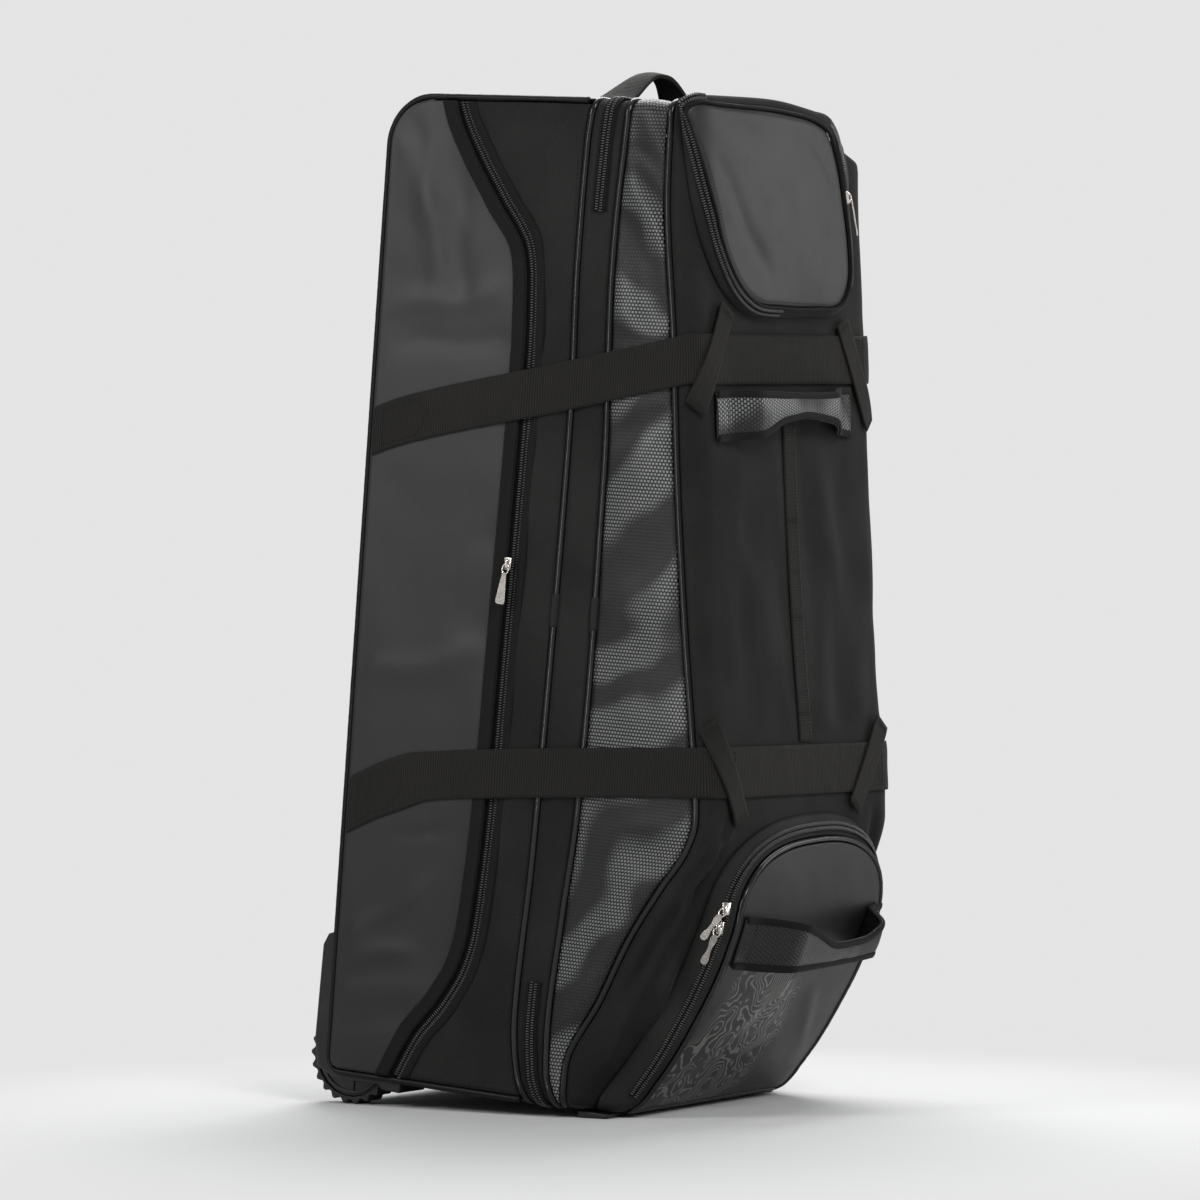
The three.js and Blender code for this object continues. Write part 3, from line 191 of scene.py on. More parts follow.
class Bench(Graph):
    """A material being made: its node tree and the one shader that it ends in."""

    def __init__(self, name: str, **constants: object) -> None:
        """Starts a material.

        Args:
            name: the material's name.
            constants: values for the shader's own sockets, with _ for a space.
        """
        self.material = bpy.data.materials.new(name)
        self.material.use_nodes = True
        super().__init__(self.material.node_tree)
        self.shader = self.tree.nodes["Principled BSDF"]
        for key, value in constants.items():
            self.shader.inputs[key.replace("_", " ")].default_value = value
        self.uv = self.node("ShaderNodeUVMap", {"uv_map": "cloth"}).outputs[0]
        self.spot = self.node("ShaderNodeTexCoord").outputs["Object"]

    def split(self, vector: Socket) -> list[Amount]:
        """The three numbers of a vector."""
        return [Amount(self, part) for part in self.node("ShaderNodeSeparateXYZ", None, {0: vector}).outputs]

    def across(self) -> list[Amount]:
        """The cloth's own two directions, in metres: across and along."""
        return self.split(self.uv)[:2]

    def cloud(self, scale: float, detail: float = 3.0, rough: float = 0.55) -> Amount:
        """Noise over the piece.

        Args:
            scale: cells in a metre.
            detail: how many finer layers it has.
            rough: how strong the finer layers are.

        Returns:
            The noise, about 0.5 on average.
        """
        values = {"Vector": self.spot, "Scale": scale, "Detail": detail, "Roughness": rough}
        return Amount(self, self.node("ShaderNodeTexNoise", None, values).outputs[0])

    def cells(self, scale: float) -> Amount:
        """Distance to the nearest of many random points, as in leather grain."""
        values = {"Vector": self.spot, "Scale": scale, "Smoothness": 0.4}
        return Amount(self, self.node("ShaderNodeTexVoronoi", {"feature": "SMOOTH_F1"}, values).outputs["Distance"])

    def blend(self, share: Term, first: Sequence[float], second: Sequence[float]) -> object:
        """Colour between two colours or sockets."""
        paint = [c if isinstance(c, Socket) else (*c, 1.0) for c in (first, second)]
        node = self.node("ShaderNodeMix", {"data_type": "RGBA"}, {0: share, 6: paint[0], 7: paint[1]})
        return node.outputs[2]

    def dress(self, colour: object = None, rough: object = None, height: object = None,
              depth: float = 0.0004, strength: float = 1.0) -> Material:
        """Joins the surface to the shader.

        Args:
            colour: a colour socket.
            rough: an amount for the roughness.
            height: an amount for the relief.
            depth: how deep the relief is, in metres.
            strength: how much of the relief shows.

        Returns:
            The finished material.
        """
        if colour is not None:
            self.join(self.shader.inputs["Base Color"], colour)
        if rough is not None:
            self.join(self.shader.inputs["Roughness"], rough)
        if height is not None:
            values = {"Strength": strength, "Distance": depth, "Height": height}
            bump = self.node("ShaderNodeBump", None, values)
            self.join(self.shader.inputs["Normal"], bump.outputs[0])
        return self.material


def grey(value: float, warm: float = 0.0) -> tuple[float, float, float]:
    """A near-neutral colour; warm above 0 leans to brown and below 0 to blue."""
    return (value * (1 + warm), value, value * (1 - warm))


@dataclass(frozen=True)
class CoatedCloth:
    """Matte coated cloth with a fine grain, darkened towards the bottom of the bag by painted shade."""

    name: str = "coated_cloth"
    dark: float = 0.024
    pale: float = 0.034
    rough: float = 0.5
    grain: float = 900.0
    print_at: tuple[float, float, float] | None = None
    print_tone: float = 0.12

    def build(self) -> Material:
        """Makes the material; print_at is the middle and reach of a printed pattern on its own chart."""
        bench = Bench(self.name, Specular_IOR_Level=0.3)
        mottle = bench.cloud(9.0, 4.0)
        rub = bench.cloud(55.0, 5.0).ramp(0.52, 0.75)
        colour = bench.blend(mottle, grey(self.dark), grey(self.pale, -0.01))
        colour = bench.blend(rub * 0.25, colour, grey(self.pale * 1.35, 0.02))
        # Painted shade: the colour darkens towards the bottom of the bag, in place of the light falling off low down.
        foot = 1.0 - bench.split(bench.spot)[2].ramp(0.05, 0.90)
        colour = bench.blend(foot * 0.8, colour, grey(self.dark * 0.35))
        rough = mottle * 0.14 + (self.rough - 0.07) + rub * 0.06
        height = bench.cells(self.grain) * 0.7 + bench.cloud(2600.0, 2.0) * 0.3
        if self.print_at:
            across, along = bench.across()
            middle_x, middle_y, reach = self.print_at
            east = across - middle_x
            north = along - middle_y
            far = east * east + north * north
            warp = bench.cloud(9.0, 3.0)
            lines = (bench.cloud(17.0, 2.5, rough=0.4) * 190.0).sine().ramp(0.25, 0.75)
            breaks = bench.cloud(30.0, 3.0).ramp(0.36, 0.43)
            edge = 1.0 - (far / (reach * reach) + warp * 1.4 - 0.5).ramp(0.6, 0.9)
            ink = lines * breaks * edge
            colour = bench.blend(ink * 0.9, colour, grey(self.print_tone, 0.06))
            rough = rough - ink * 0.1
        return bench.dress(colour, rough, height, 0.00012, 0.55)


@dataclass(frozen=True)
class WovenCloth:
    """Plain weave with a soft nap."""

    name: str = "woven_cloth"
    tone: float = 0.0135
    pitch: float = 0.0009
    rough: float = 0.82

    def build(self) -> Material:
        """Makes the material."""
        bench = Bench(self.name, Specular_IOR_Level=0.12, Sheen_Weight=0.05, Sheen_Roughness=0.4,
                Sheen_Tint=(0.75, 0.74, 0.72, 1.0))
        across, along = bench.across()
        turn = math.pi / self.pitch
        weave = (across * turn).sine() * (along * turn).sine()
        slub = bench.cloud(420.0, 3.0)
        dust = bench.cloud(7.0, 5.0)
        fleck = bench.cloud(1100.0, 2.0).ramp(0.35, 0.7)
        shade = dust.ramp(0.3, 0.75) * 0.45 + weave * 0.2 + slub * 0.2 + fleck * 0.3
        colour = bench.blend(shade, grey(self.tone * 0.5, 0.02), grey(self.tone * 1.95, 0.03))
        rough = slub * 0.1 + self.rough - 0.05
        return bench.dress(colour, rough, weave * 0.5 + slub * 0.5, 0.00022, 0.5)


@dataclass(frozen=True)
class EmbossedCloth:
    """Glossy coated cloth pressed with rows of small raised squares, with painted highlights in diagonal waves and
    painted shade towards the top.
    """

    name: str = "embossed_cloth"
    cell: float = 0.0034
    low: float = 0.003
    # The next two fields: the raised squares' colour under a full painted highlight, and the scale of the noise that
    # breaks the painted highlights into streaks.
    high: float = 0.20
    highlight_streak: float = 9.0

    def build(self) -> Material:
        """Makes the material."""
        bench = Bench(self.name, Specular_IOR_Level=0.36)
        across, along = bench.across()
        turn = math.pi / self.cell
        rows = (along * turn).sine()
        shifted = across + rows.ramp(-0.05, 0.05) * (self.cell * 0.5)
        squares = ((shifted * turn).sine().size() * rows.size()).ramp(0.30, 0.66)
        east, north, high = bench.split(bench.spot)
        # Painted highlights: diagonal waves of light across the squares, broken up by noise, stand in for light caught
        # on the panel's folds.
        slant = high - north * (high.ramp(0.70, 0.78) * 1.35 - 0.6)
        warp = bench.cloud(6.0, 2.0)
        waves = ((slant * 46.0) + warp * 16.0).sine() * 0.5 + 0.5
        # Painted shade: the painted highlights fade towards the top of the bag.
        painted_top_shade = 1.0 - high.ramp(0.80, 1.0) * 0.75
        lit = (waves * 0.6 + bench.cloud(self.highlight_streak, 4.0) * 0.6).ramp(0.47, 0.84) * painted_top_shade
        # The raised squares run from painted shade to painted highlight; the hollows between them keep the low colour.
        shade = bench.blend(lit, grey(0.013, -0.03), grey(self.high, -0.02))
        colour = bench.blend(squares, grey(self.low), shade)
        rough = 0.50 - squares * 0.14 - lit * 0.12 + bench.cloud(60.0) * 0.08
        height = squares * 0.85 + bench.cloud(1500.0, 2.0) * 0.15
        return bench.dress(colour, rough, height, 0.0007, 0.8)


@dataclass(frozen=True)
class SatinCord:
    """Coated cloth drawn tight over a cord, with fine puckers."""

    name: str = "piping"
    tone: float = 0.004
    coat: float = 0.55
    rough: float = 0.5

    def build(self) -> Material:
        """Makes the material."""
        bench = Bench(self.name, Specular_IOR_Level=0.12, Coat_Weight=self.coat, Coat_Roughness=0.08)
        across, along = bench.across()
        pucker = (along * 900.0 + bench.cloud(160.0) * 9.0).sine()
        wear = bench.cloud(70.0, 4.0).ramp(0.5, 0.72)
        colour = bench.blend(wear * 0.6, grey(self.tone), grey(self.tone * 2.0))
        rough = wear * 0.14 + bench.cloud(500.0) * 0.06 + self.rough
        return bench.dress(colour, rough, pucker * 0.4 + bench.cloud(900.0) * 0.6, 0.00015, 0.12)


@dataclass(frozen=True)
class RibbedWebbing:
    """Flat woven webbing; ribs cross it, or lean in a herringbone."""

    name: str = "webbing"
    tone: float = 0.0120
    rib: float = 0.0027
    herringbone: bool = False
    width: float = 0.024

    def build(self) -> Material:
        """Makes the material."""
        bench = Bench(self.name, Specular_IOR_Level=0.14, Sheen_Weight=0.05, Sheen_Roughness=0.4,
                Sheen_Tint=(0.8, 0.77, 0.72, 1.0))
        across, along = bench.across()
        turn = 2 * math.pi / self.rib
        if self.herringbone:
            zig = ((across / (self.width / 3)).part() - 0.5).size() * (self.width * 0.6)
            ribs = ((along + zig) * turn).sine()
        else:
            ribs = (along * turn).sine()
        yarn = (across * (2 * math.pi / 0.0011)).sine()
        fuzz = bench.cloud(700.0, 3.0)
        shade = ribs * 0.42 + yarn * 0.12 + fuzz * 0.4 + bench.cloud(12.0, 3.0) * 0.35
        colour = bench.blend(shade, grey(self.tone * 0.55, 0.05), grey(self.tone * 1.9, 0.07))
        return bench.dress(colour, fuzz * 0.1 + 0.72, ribs * 0.6 + yarn * 0.25 + fuzz * 0.25, 0.0003, 0.6)


@dataclass(frozen=True)
class TwillTape:
    """Narrow twill tape that binds edges, also used for zip tape and thread."""

    name: str = "binding"
    tone: float = 0.0075
    pitch: float = 0.0012
    rough: float = 0.8

    def build(self) -> Material:
        """Makes the material."""
        bench = Bench(self.name, Specular_IOR_Level=0.14, Sheen_Weight=0.04, Sheen_Roughness=0.4)
        across, along = bench.across()
        twill = ((across + along * 0.6) * (2 * math.pi / self.pitch)).sine()
        fuzz = bench.cloud(600.0, 3.0)
        colour = bench.blend(twill * 0.25 + fuzz * 0.6, grey(self.tone * 0.6, 0.03), grey(self.tone * 1.7, 0.04))
        return bench.dress(colour, fuzz * 0.12 + (self.rough - 0.06), twill * 0.5 + fuzz * 0.5, 0.00025, 0.5)


@dataclass(frozen=True)
class ZipCoil:
    """Dark nylon coil teeth."""

    name: str = "zip_coil"
    tone: float = 0.036

    def build(self) -> Material:
        """Makes the material."""
        bench = Bench(self.name, Specular_IOR_Level=0.55)
        mottle = bench.cloud(300.0, 3.0)
        colour = bench.blend(mottle, grey(self.tone * 0.7), grey(self.tone * 2.0, 0.04))
        return bench.dress(colour, mottle * 0.2 + 0.28, bench.cloud(1800.0), 0.0001, 0.3)


@dataclass(frozen=True)
class PlatedNickel:
    """Bright plated metal with slight handling marks."""

    name: str = "nickel"

    def build(self) -> Material:
        """Makes the material."""
        bench = Bench(self.name, Metallic=1.0)
        mottle = bench.cloud(120.0, 4.0)
        scuff = bench.cloud(900.0, 3.0).ramp(0.55, 0.75)
        colour = bench.blend(mottle, (0.62, 0.57, 0.52), (0.80, 0.76, 0.71))
        return bench.dress(colour, 0.16 + mottle * 0.12 + scuff * 0.2, scuff, 0.00006, 0.3)


@dataclass(frozen=True)
class MouldedPlastic:
    """Moulded black plastic with a fine spark grain and scuffed patches."""

    name: str = "moulded_plastic"
    tone: float = 0.0045
    rough: float = 0.38

    def build(self) -> Material:
        """Makes the material."""
        bench = Bench(self.name, Specular_IOR_Level=0.38)
        scuff = bench.cloud(60.0, 5.0).ramp(0.52, 0.72)
        spark = bench.cloud(2200.0, 2.0)
        colour = bench.blend(scuff * 0.7, grey(self.tone), grey(self.tone * 2.4, 0.03))
        return bench.dress(colour, scuff * 0.2 + spark * 0.12 + (self.rough - 0.06), spark, 0.00015, 0.4)


@dataclass(frozen=True)
class TyreRubber:
    """Hard matte rubber with dust in its grooves."""

    name: str = "tyre_rubber"
    tone: float = 0.010

    def build(self) -> Material:
        """Makes the material."""
        bench = Bench(self.name, Specular_IOR_Level=0.35)
        dust = bench.cloud(80.0, 6.0).ramp(0.45, 0.75)
        colour = bench.blend(dust * 0.6, grey(self.tone), grey(self.tone * 3.0, 0.06))
        return bench.dress(colour, dust * 0.15 + 0.62, bench.cloud(1200.0, 4.0), 0.0002, 0.5)


FINISHES = {
    Look.COATED: CoatedCloth(),
    Look.WOVEN: WovenCloth(),
    Look.EMBOSSED: EmbossedCloth(),
    Look.PIPING: SatinCord(),
    Look.WEBBING: RibbedWebbing(),
    Look.BINDING: TwillTape(),
    Look.COIL: ZipCoil(),
    Look.NICKEL: PlatedNickel(),
    Look.MOULDED: MouldedPlastic(),
    Look.RUBBER: TyreRubber(),
}
EXTRAS = {
    "thread": TwillTape("thread", 0.021),
    "zip_tape": TwillTape("zip_tape", 0.0045),
    "matte_piping": SatinCord("edge_piping", 0.006, 0.06, 0.5),
    # The lower handle's embossed cloth: the same painted highlights, weaker.
    "lower_grab": EmbossedCloth("handle_cloth", 0.0030, 0.004, 0.045),
    # A lighter copy of the woven cloth for the boot pocket's flank: painted light on a flank that sits in shade.
    "pocket_flank": WovenCloth("pocket_flank_cloth", 0.022),
    "upper_face": CoatedCloth("upper_face_cloth", 0.0195, 0.028),
    "pocket_face": CoatedCloth("pocket_face_cloth", 0.027, 0.038, print_at=(0.440, 0.545, 0.140)),
    "herringbone": RibbedWebbing("narrow_webbing", 0.013, 0.0022, True),
    "strip": RibbedWebbing("strip_webbing", 0.012, 0.0016),
}


# Curves and meshes


def eased(low: float, high: float, at: float) -> float:
    """Runs smoothly from 0 at low to 1 at high."""
    share = min(1.0, max(0.0, (at - low) / (high - low)))
    return share * share * (3 - 2 * share)


def steps(start: float, end: float, count: int) -> list[float]:
    """Even steps from start to end, both included."""
    return [start + (end - start) * i / count for i in range(count + 1)]


class Through:
    """A smooth curve through the rows of a table, without overshoot."""

    def __init__(self, rows: Sequence[Sequence[float]], along: float, value: float, column: int = 1) -> None:
        """Reads a table of shares.

        Args:
            rows: the table, its first column rising.
            along: the size that the first column is a share of.
            value: the size that the read column is a share of.
            column: the column read.
        """
        self.at = [row[0] * along for row in rows]
        self.value = [row[column] * value for row in rows]
        gaps = range(len(rows) - 1)
        run = [(self.value[i + 1] - self.value[i]) / (self.at[i + 1] - self.at[i]) for i in gaps]
        self.slope = [run[0]]
        for before, after in zip(run, run[1:]):
            self.slope.append(0.0 if before * after <= 0 else 2 * before * after / (before + after))
        self.slope.append(run[-1])

    def __call__(self, where: float) -> float:
        """The curve's value at a place along it.

        Args:
            where: the place, in metres.

        Returns:
            The value, held at the table's ends.
        """
        if where <= self.at[0]:
            return self.value[0]
        if where >= self.at[-1]:
            return self.value[-1]
        i = max(k for k, spot in enumerate(self.at) if spot <= where)
        span = self.at[i + 1] - self.at[i]
        t = (where - self.at[i]) / span
        u = 1 - t
        ends = self.value[i] * u * u * (1 + 2 * t) + self.value[i + 1] * t * t * (3 - 2 * t)
        return ends + span * (self.slope[i] * u * u * t - self.slope[i + 1] * t * t * u)


def beside(line: Callable[[float], float], rise: float, distance: float) -> float:
    """A line moved sideways by a distance measured square to it."""
    slope = (line(rise + 0.002) - line(rise - 0.002)) / 0.004
    return line(rise) + distance * math.sqrt(1 + slope * slope)


def mapped(columns: int, rows: int, place: Place, size: tuple[float, float] = (1.0, 1.0),
           looped: bool = False, chart: Chart | None = None) -> Mesh:
    """A grid laid on a surface.

    Args:
        columns: faces across.
        rows: faces along.
        place: where a point of the unit square goes.
        size: width and length of the cloth, in metres, for its own map.
        looped: merges edges that meet.
        chart: another map, in metres, in place of size.

    Returns:
        The mesh, with its map in the layer named cloth.
    """
    bm = bmesh.new()
    layer = bm.loops.layers.uv.new("cloth")
    bmesh.ops.create_grid(bm, x_segments=columns, y_segments=rows, size=0.5)
    half = max(vert.co.x for vert in bm.verts)
    for face in bm.faces:
        for loop in face.loops:
            u, v = loop.vert.co.x / half / 2 + 0.5, loop.vert.co.y / half / 2 + 0.5
            loop[layer].uv = chart(u, v) if chart else (u * size[0], v * size[1])
    for vert in bm.verts:
        vert.co = place(vert.co.x / half / 2 + 0.5, vert.co.y / half / 2 + 0.5)
    if looped:
        bmesh.ops.remove_doubles(bm, verts=bm.verts, dist=2e-6)
    return bm


def placed(bm: Mesh, name: str, material: Material) -> Piece:
    """Puts a mesh in the scene, and frees it.

    Args:
        bm: the mesh.
        name: what it is called.
        material: its material.

    Returns:
        The object.
    """
    mesh = bpy.data.meshes.new(name)
    bm.to_mesh(mesh)
    bm.free()
    mesh.materials.append(material)
    piece = bpy.data.objects.new(name, mesh)
    bpy.context.scene.collection.objects.link(piece)
    return piece


def seated(spot: Vector, ahead: Vector, normal: Vector, size: tuple[float, float, float]) -> Matrix:
    """Where a bead of a size lies on a surface, its length along ahead.

    Args:
        spot: the place.
        ahead: the way it points.
        normal: the surface's normal.
        size: its half sizes along, across and up.

    Returns:
        Its matrix.
    """
    basis = Matrix((ahead, normal.cross(ahead), normal)).transposed().to_4x4()
    return Matrix.Translation(spot) @ basis @ Matrix.Diagonal((*size, 1))


def face_out(bm: Mesh, heart: Vector) -> Mesh:
    """Turns a sheet so that its faces look away from a point.

    Args:
        bm: the sheet.
        heart: the point.

    Returns:
        The same mesh.
    """
    bm.normal_update()
    facing = sum(face.normal.dot(face.calc_center_median() - heart) * face.calc_area() for face in bm.faces)
    if facing < 0:
        bmesh.ops.reverse_faces(bm, faces=bm.faces)
    return bm


class Ribbon:
    """A strip between two edges, measured along its middle."""

    def __init__(self, edges: Sequence[tuple[Vector, Vector]], heart: Vector, closed: bool = False) -> None:
        """Measures the strip.

        Args:
            edges: pairs of points across the strip.
            heart: a point on its inner side.
            closed: says that the last pair joins the first.
        """
        self.edges = list(edges) + ([edges[0]] if closed else [])
        self.closed = closed
        self.heart = heart
        middles = [(low + high) / 2 for low, high in self.edges]
        self.marks = [0.0]
        for before, after in zip(middles, middles[1:]):
            self.marks.append(self.marks[-1] + (after - before).length)
        self.length = self.marks[-1]
        self.width = sum((high - low).length for low, high in self.edges) / len(self.edges)

    def pair(self, share: float) -> tuple[Vector, Vector]:
        """The two edge points at a share of the length.

        Args:
            share: 0 at the start, 1 at the end.

        Returns:
            The near edge and the far edge.
        """
        want = min(max(share, 0.0), 1.0) * self.length
        i = min(max(bisect_right(self.marks, want) - 1, 0), len(self.marks) - 2)
        span = self.marks[i + 1] - self.marks[i] or 1e-9
        t = (want - self.marks[i]) / span
        return self.edges[i][0].lerp(self.edges[i + 1][0], t), self.edges[i][1].lerp(self.edges[i + 1][1], t)

    def frame(self, u: float, v: float) -> tuple[Vector, Vector, Vector]:
        """Point, direction along and outward normal at a place on the strip.

        Args:
            u: share across.
            v: share of the length.

        Returns:
            The three vectors.
        """
        low, high = self.pair(v)
        step = 0.6 * 0.004 / max(self.length, 0.01)
        ahead = (sum(self.pair(v + step), Vector()) - sum(self.pair(v - step), Vector())).normalized()
        normal = ahead.cross(high - low).normalized()
        spot = low.lerp(high, u)
        if normal.dot(spot - self.heart) < 0:
            normal.negate()
        return spot, ahead, normal

    def track(self, u: float, lift: float = 0.0, pitch: float = 0.0036) -> Track:
        """Points at an even pitch along the strip, each with its direction and normal.

        Args:
            u: share across.
            lift: height off the strip.
            pitch: metres from point to point.

        Returns:
            The points, from start to end.
        """
        count = max(1, int(self.length / pitch))
        spots = []
        for i in range(count):
            spot, ahead, normal = self.frame(u, (i + 0.5) / count)
            spots.append((spot + normal * lift, ahead, normal))
        return spots

    def drawn(self, points: Sequence[tuple[float, float]], lift: float, pitch: float = 0.0036) -> Track:
        """A sewn line through points given as metres across from the middle and along.

        Args:
            points: the corners.
            lift: height off the strip.
            pitch: metres from stitch to stitch.

        Returns:
            A place for each stitch.
        """
        track = []
        for (from_x, from_y), (to_x, to_y) in zip(points, points[1:]):
            count = max(1, round(math.hypot(to_x - from_x, to_y - from_y) / pitch))
            for i in range(count):
                ends = []
                for share in (i / count, (i + 1) / count):
                    x, y = from_x + (to_x - from_x) * share, from_y + (to_y - from_y) * share
                    ends.append(self.frame(0.5 + x / self.width, y / self.length))
                normal = ends[0][2]
                spot = (ends[0][0] + ends[1][0]) / 2
                track.append((spot + normal * lift, (ends[1][0] - ends[0][0]).normalized(), normal))
        return track


@dataclass
class Maker:
    """Makes and dresses pieces, hangs each on its body and hides the frame nodes that it stands for."""

    materials: dict[Look, Material] = field(default_factory=dict)
    extra: dict[str, Material] = field(default_factory=dict)

    def __post_init__(self) -> None:
        """Builds every finish once."""
        self.materials = {look: finish.build() for look, finish in FINISHES.items()}
        self.extra = {name: finish.build() for name, finish in EXTRAS.items()}

    def finish(self, bm: Mesh, name: str, look: Look, replaces: Iterable[str] = (), body: str = BAG,
               wall: float = 0.0, bevel: float = 0.0, material: Material | None = None) -> Piece:
        """Turns a mesh into a piece.

        Args:
            bm: the mesh, freed here.
            name: the piece's name.
            look: its finish and material slot.
            replaces: its nodes in the frame.
            body: the body that it rides on.
            wall: thickness given to an open sheet, inwards.
            bevel: width of the rounded edges.
            material: a material of its own.

        Returns:
            The piece.
        """
        piece = placed(bm, name, material or self.materials[look])
        piece.data.shade_smooth()
        if wall:
            solid = piece.modifiers.new("wall", "SOLIDIFY")
            solid.thickness = wall
            solid.offset = -1.0
            solid.use_even_offset = False
        if bevel:
            edge = piece.modifiers.new("edge", "BEVEL")
            edge.width = bevel
            edge.segments = 2
            edge.limit_method = "ANGLE"
            edge.angle_limit = math.radians(50)
        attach(piece, body)
        nodes = list(replaces)
        if nodes:
            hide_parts(*nodes)
        LOG.info("%s: %d faces, %s", name, len(piece.data.polygons), look.value)
        return piece

    def ribbon(self, strip: Ribbon, name: str, look: Look, replaces: Iterable[str] = (), wall: float = 0.0018,
               columns: int = 8, pitch: float = 0.005, bevel: float = 0.0,
               relief: Relief | None = None, material: Material | None = None) -> None:
        """A panel, strap or tape laid along a strip, its outer face on the strip.

        Args:
            strip: where it lies.
            name: the piece's name.
            look: its finish.
            replaces: its nodes in the frame.
            wall: its thickness.
            columns: faces across.
            pitch: length of a face.
            bevel: width of its rounded edges.
            relief: lift off the strip at a share across and a place.
            material: a material of its own.
        """
        rows = max(8, int(strip.length / pitch))

        def place(u: float, v: float) -> Vector:
            """Lifts the strip by its relief."""
            spot, ahead, normal = strip.frame(u, v)
            return spot + normal * relief(u, spot) if relief else spot

        def chart(u: float, v: float) -> tuple[float, float]:
            """The cloth's own map, in metres, true to the strip's width."""
            low, high = strip.pair(v)
            return strip.width / 2 + (u - 0.5) * (high - low).length, v * strip.length

        bm = mapped(columns, rows, place, looped=strip.closed, chart=chart)
        face_out(bm, strip.heart)
        LOG.info("%s lies flat at %.3f x %.3f m", name, strip.width, strip.length)
        self.finish(bm, name, look, replaces, wall=wall, bevel=bevel, material=material)

    def tube(self, points: Sequence[Vector], radius: float, name: str, look: Look, replaces: Iterable[str] = (),
             heart: Vector = Vector((0, 0, 0.45)), closed: bool = False, sides: int = 14, pitch: float = 0.004,
             pucker: float = 0.0, material: Material | None = None) -> None:
        """A round bar along points, capped unless it closes on itself.

        Args:
            points: its middle line.
            radius: its radius.
            name: the piece's name.
            look: its finish.
            replaces: its nodes in the frame.
            heart: a point on its inner side.
            closed: joins its ends.
            sides: faces round it.
            pitch: length of a face.
            pucker: how much its radius wavers.
            material: a material of its own.
        """
        strip = Ribbon([(spot, spot) for spot in points], heart, closed)
        rows = max(8, int(strip.length / pitch))

        def place(u: float, v: float) -> Vector:
            """Goes round the bar."""
            spot = strip.pair(v)[0]
            step = 0.0035 / strip.length
            if closed:
                before, after = strip.pair((v - step) % 1.0)[0], strip.pair((v + step) % 1.0)[0]
            else:
                before, after = strip.pair(v - step)[0], strip.pair(v + step)[0]
            ahead = (after - before).normalized()
            out = spot - heart
            out = (out - ahead * out.dot(ahead)).normalized()
            side = ahead.cross(out)
            turn = 2 * math.pi * u
            swell = radius * (1 + pucker * noise.noise(spot * 210.0))
            return spot + out * (swell * math.cos(turn)) + side * (swell * math.sin(turn))

        bm = mapped(sides, rows, place, (2 * math.pi * radius, strip.length), True)
        if not closed:
            edges = [edge for edge in bm.edges if edge.is_boundary]
            bmesh.ops.holes_fill(bm, edges=edges, sides=0)
        bmesh.ops.recalc_face_normals(bm, faces=bm.faces)
        LOG.info("%s is %.3f m long", name, strip.length)
        self.finish(bm, name, look, replaces, material=material)

    def beads(self, places: Sequence[Matrix], name: str, look: Look, replaces: Iterable[str] = (),
              material: Material | None = None) -> None:
        """Small balls at many places, in one piece.

        Args:
            places: where each ball goes, and its size.
            name: the piece's name.
            look: its finish.
            replaces: its nodes in the frame.
            material: a material of its own.
        """
        bm = bmesh.new()
        bmesh.ops.create_icosphere(bm, subdivisions=1, radius=1.0)
        bm.verts.ensure_lookup_table()
        size = len(bm.verts)
        made = 1
        while made < len(places):
            take = min(made, len(places) - made)
            bm.verts.ensure_lookup_table()
            verts = bm.verts[: take * size]
            keep = set(verts)
            edges = [edge for edge in bm.edges if edge.verts[0] in keep]
            faces = [face for face in bm.faces if face.verts[0] in keep]
            bmesh.ops.duplicate(bm, geom=list(verts) + edges + faces)
            made += take
        bm.verts.ensure_lookup_table()
        for i, matrix in enumerate(places):
            for vert in bm.verts[i * size:(i + 1) * size]:
                vert.co = matrix @ vert.co
        self.finish(bm, name, look, replaces, material=material)

    def stitches(self, tracks: Iterable[Track], name: str) -> None:
        """Rows of sewn thread lying on the cloth.

        Args:
            tracks: places along each row.
            name: the piece's name.
        """
        places = [seated(*point, STITCH) for track in tracks for point in track]
        self.beads(places, name, Look.BINDING, material=self.extra["thread"])

    def coil(self, strip: Ribbon, name: str, replaces: Iterable[str], middle: float, lift: float) -> None:
        """Two rows of coil teeth along the middle of a zip.

        Args:
            strip: where the zip lies.
            name: the piece's name.
            replaces: its nodes in the frame.
            middle: its place, as a share across.
            lift: height off the strip.
        """
        places = []
        for spot, ahead, normal in strip.track(middle, lift, COIL_PITCH):
            for way in (-1, 1):
                shift = normal.cross(ahead) * (COIL_HALF * way) + ahead * (0.25 * COIL_PITCH * way)
                places.append(seated(spot + shift, ahead, normal, TOOTH))
        self.beads(places, name, Look.COIL, replaces)

    def zip(self, strip: Ribbon, names: tuple[str, str], replaces: Iterable[str] = (), sunk: float = 0.0006,
            lift: float = 0.0, middle: float = 0.5, **weave: float) -> None:
        """A zip: its tape laid on a strip, and the coil along it.

        Args:
            strip: where it lies.
            names: the tape's name and the coil's.
            replaces: the nodes that the coil stands for.
            sunk: how far the tape lies under the strip.
            lift: how far the coil stands off the strip.
            middle: the coil's place, as a share across.
            weave: the tape's wall, columns and pitch.
        """
        self.ribbon(strip, names[0], Look.BINDING, relief=lambda u, spot: -sunk, material=self.extra["zip_tape"],
                **{"wall": 0.0012, "columns": 6, **weave})
        self.coil(strip, names[1], replaces, middle, lift)


# The bag's shape

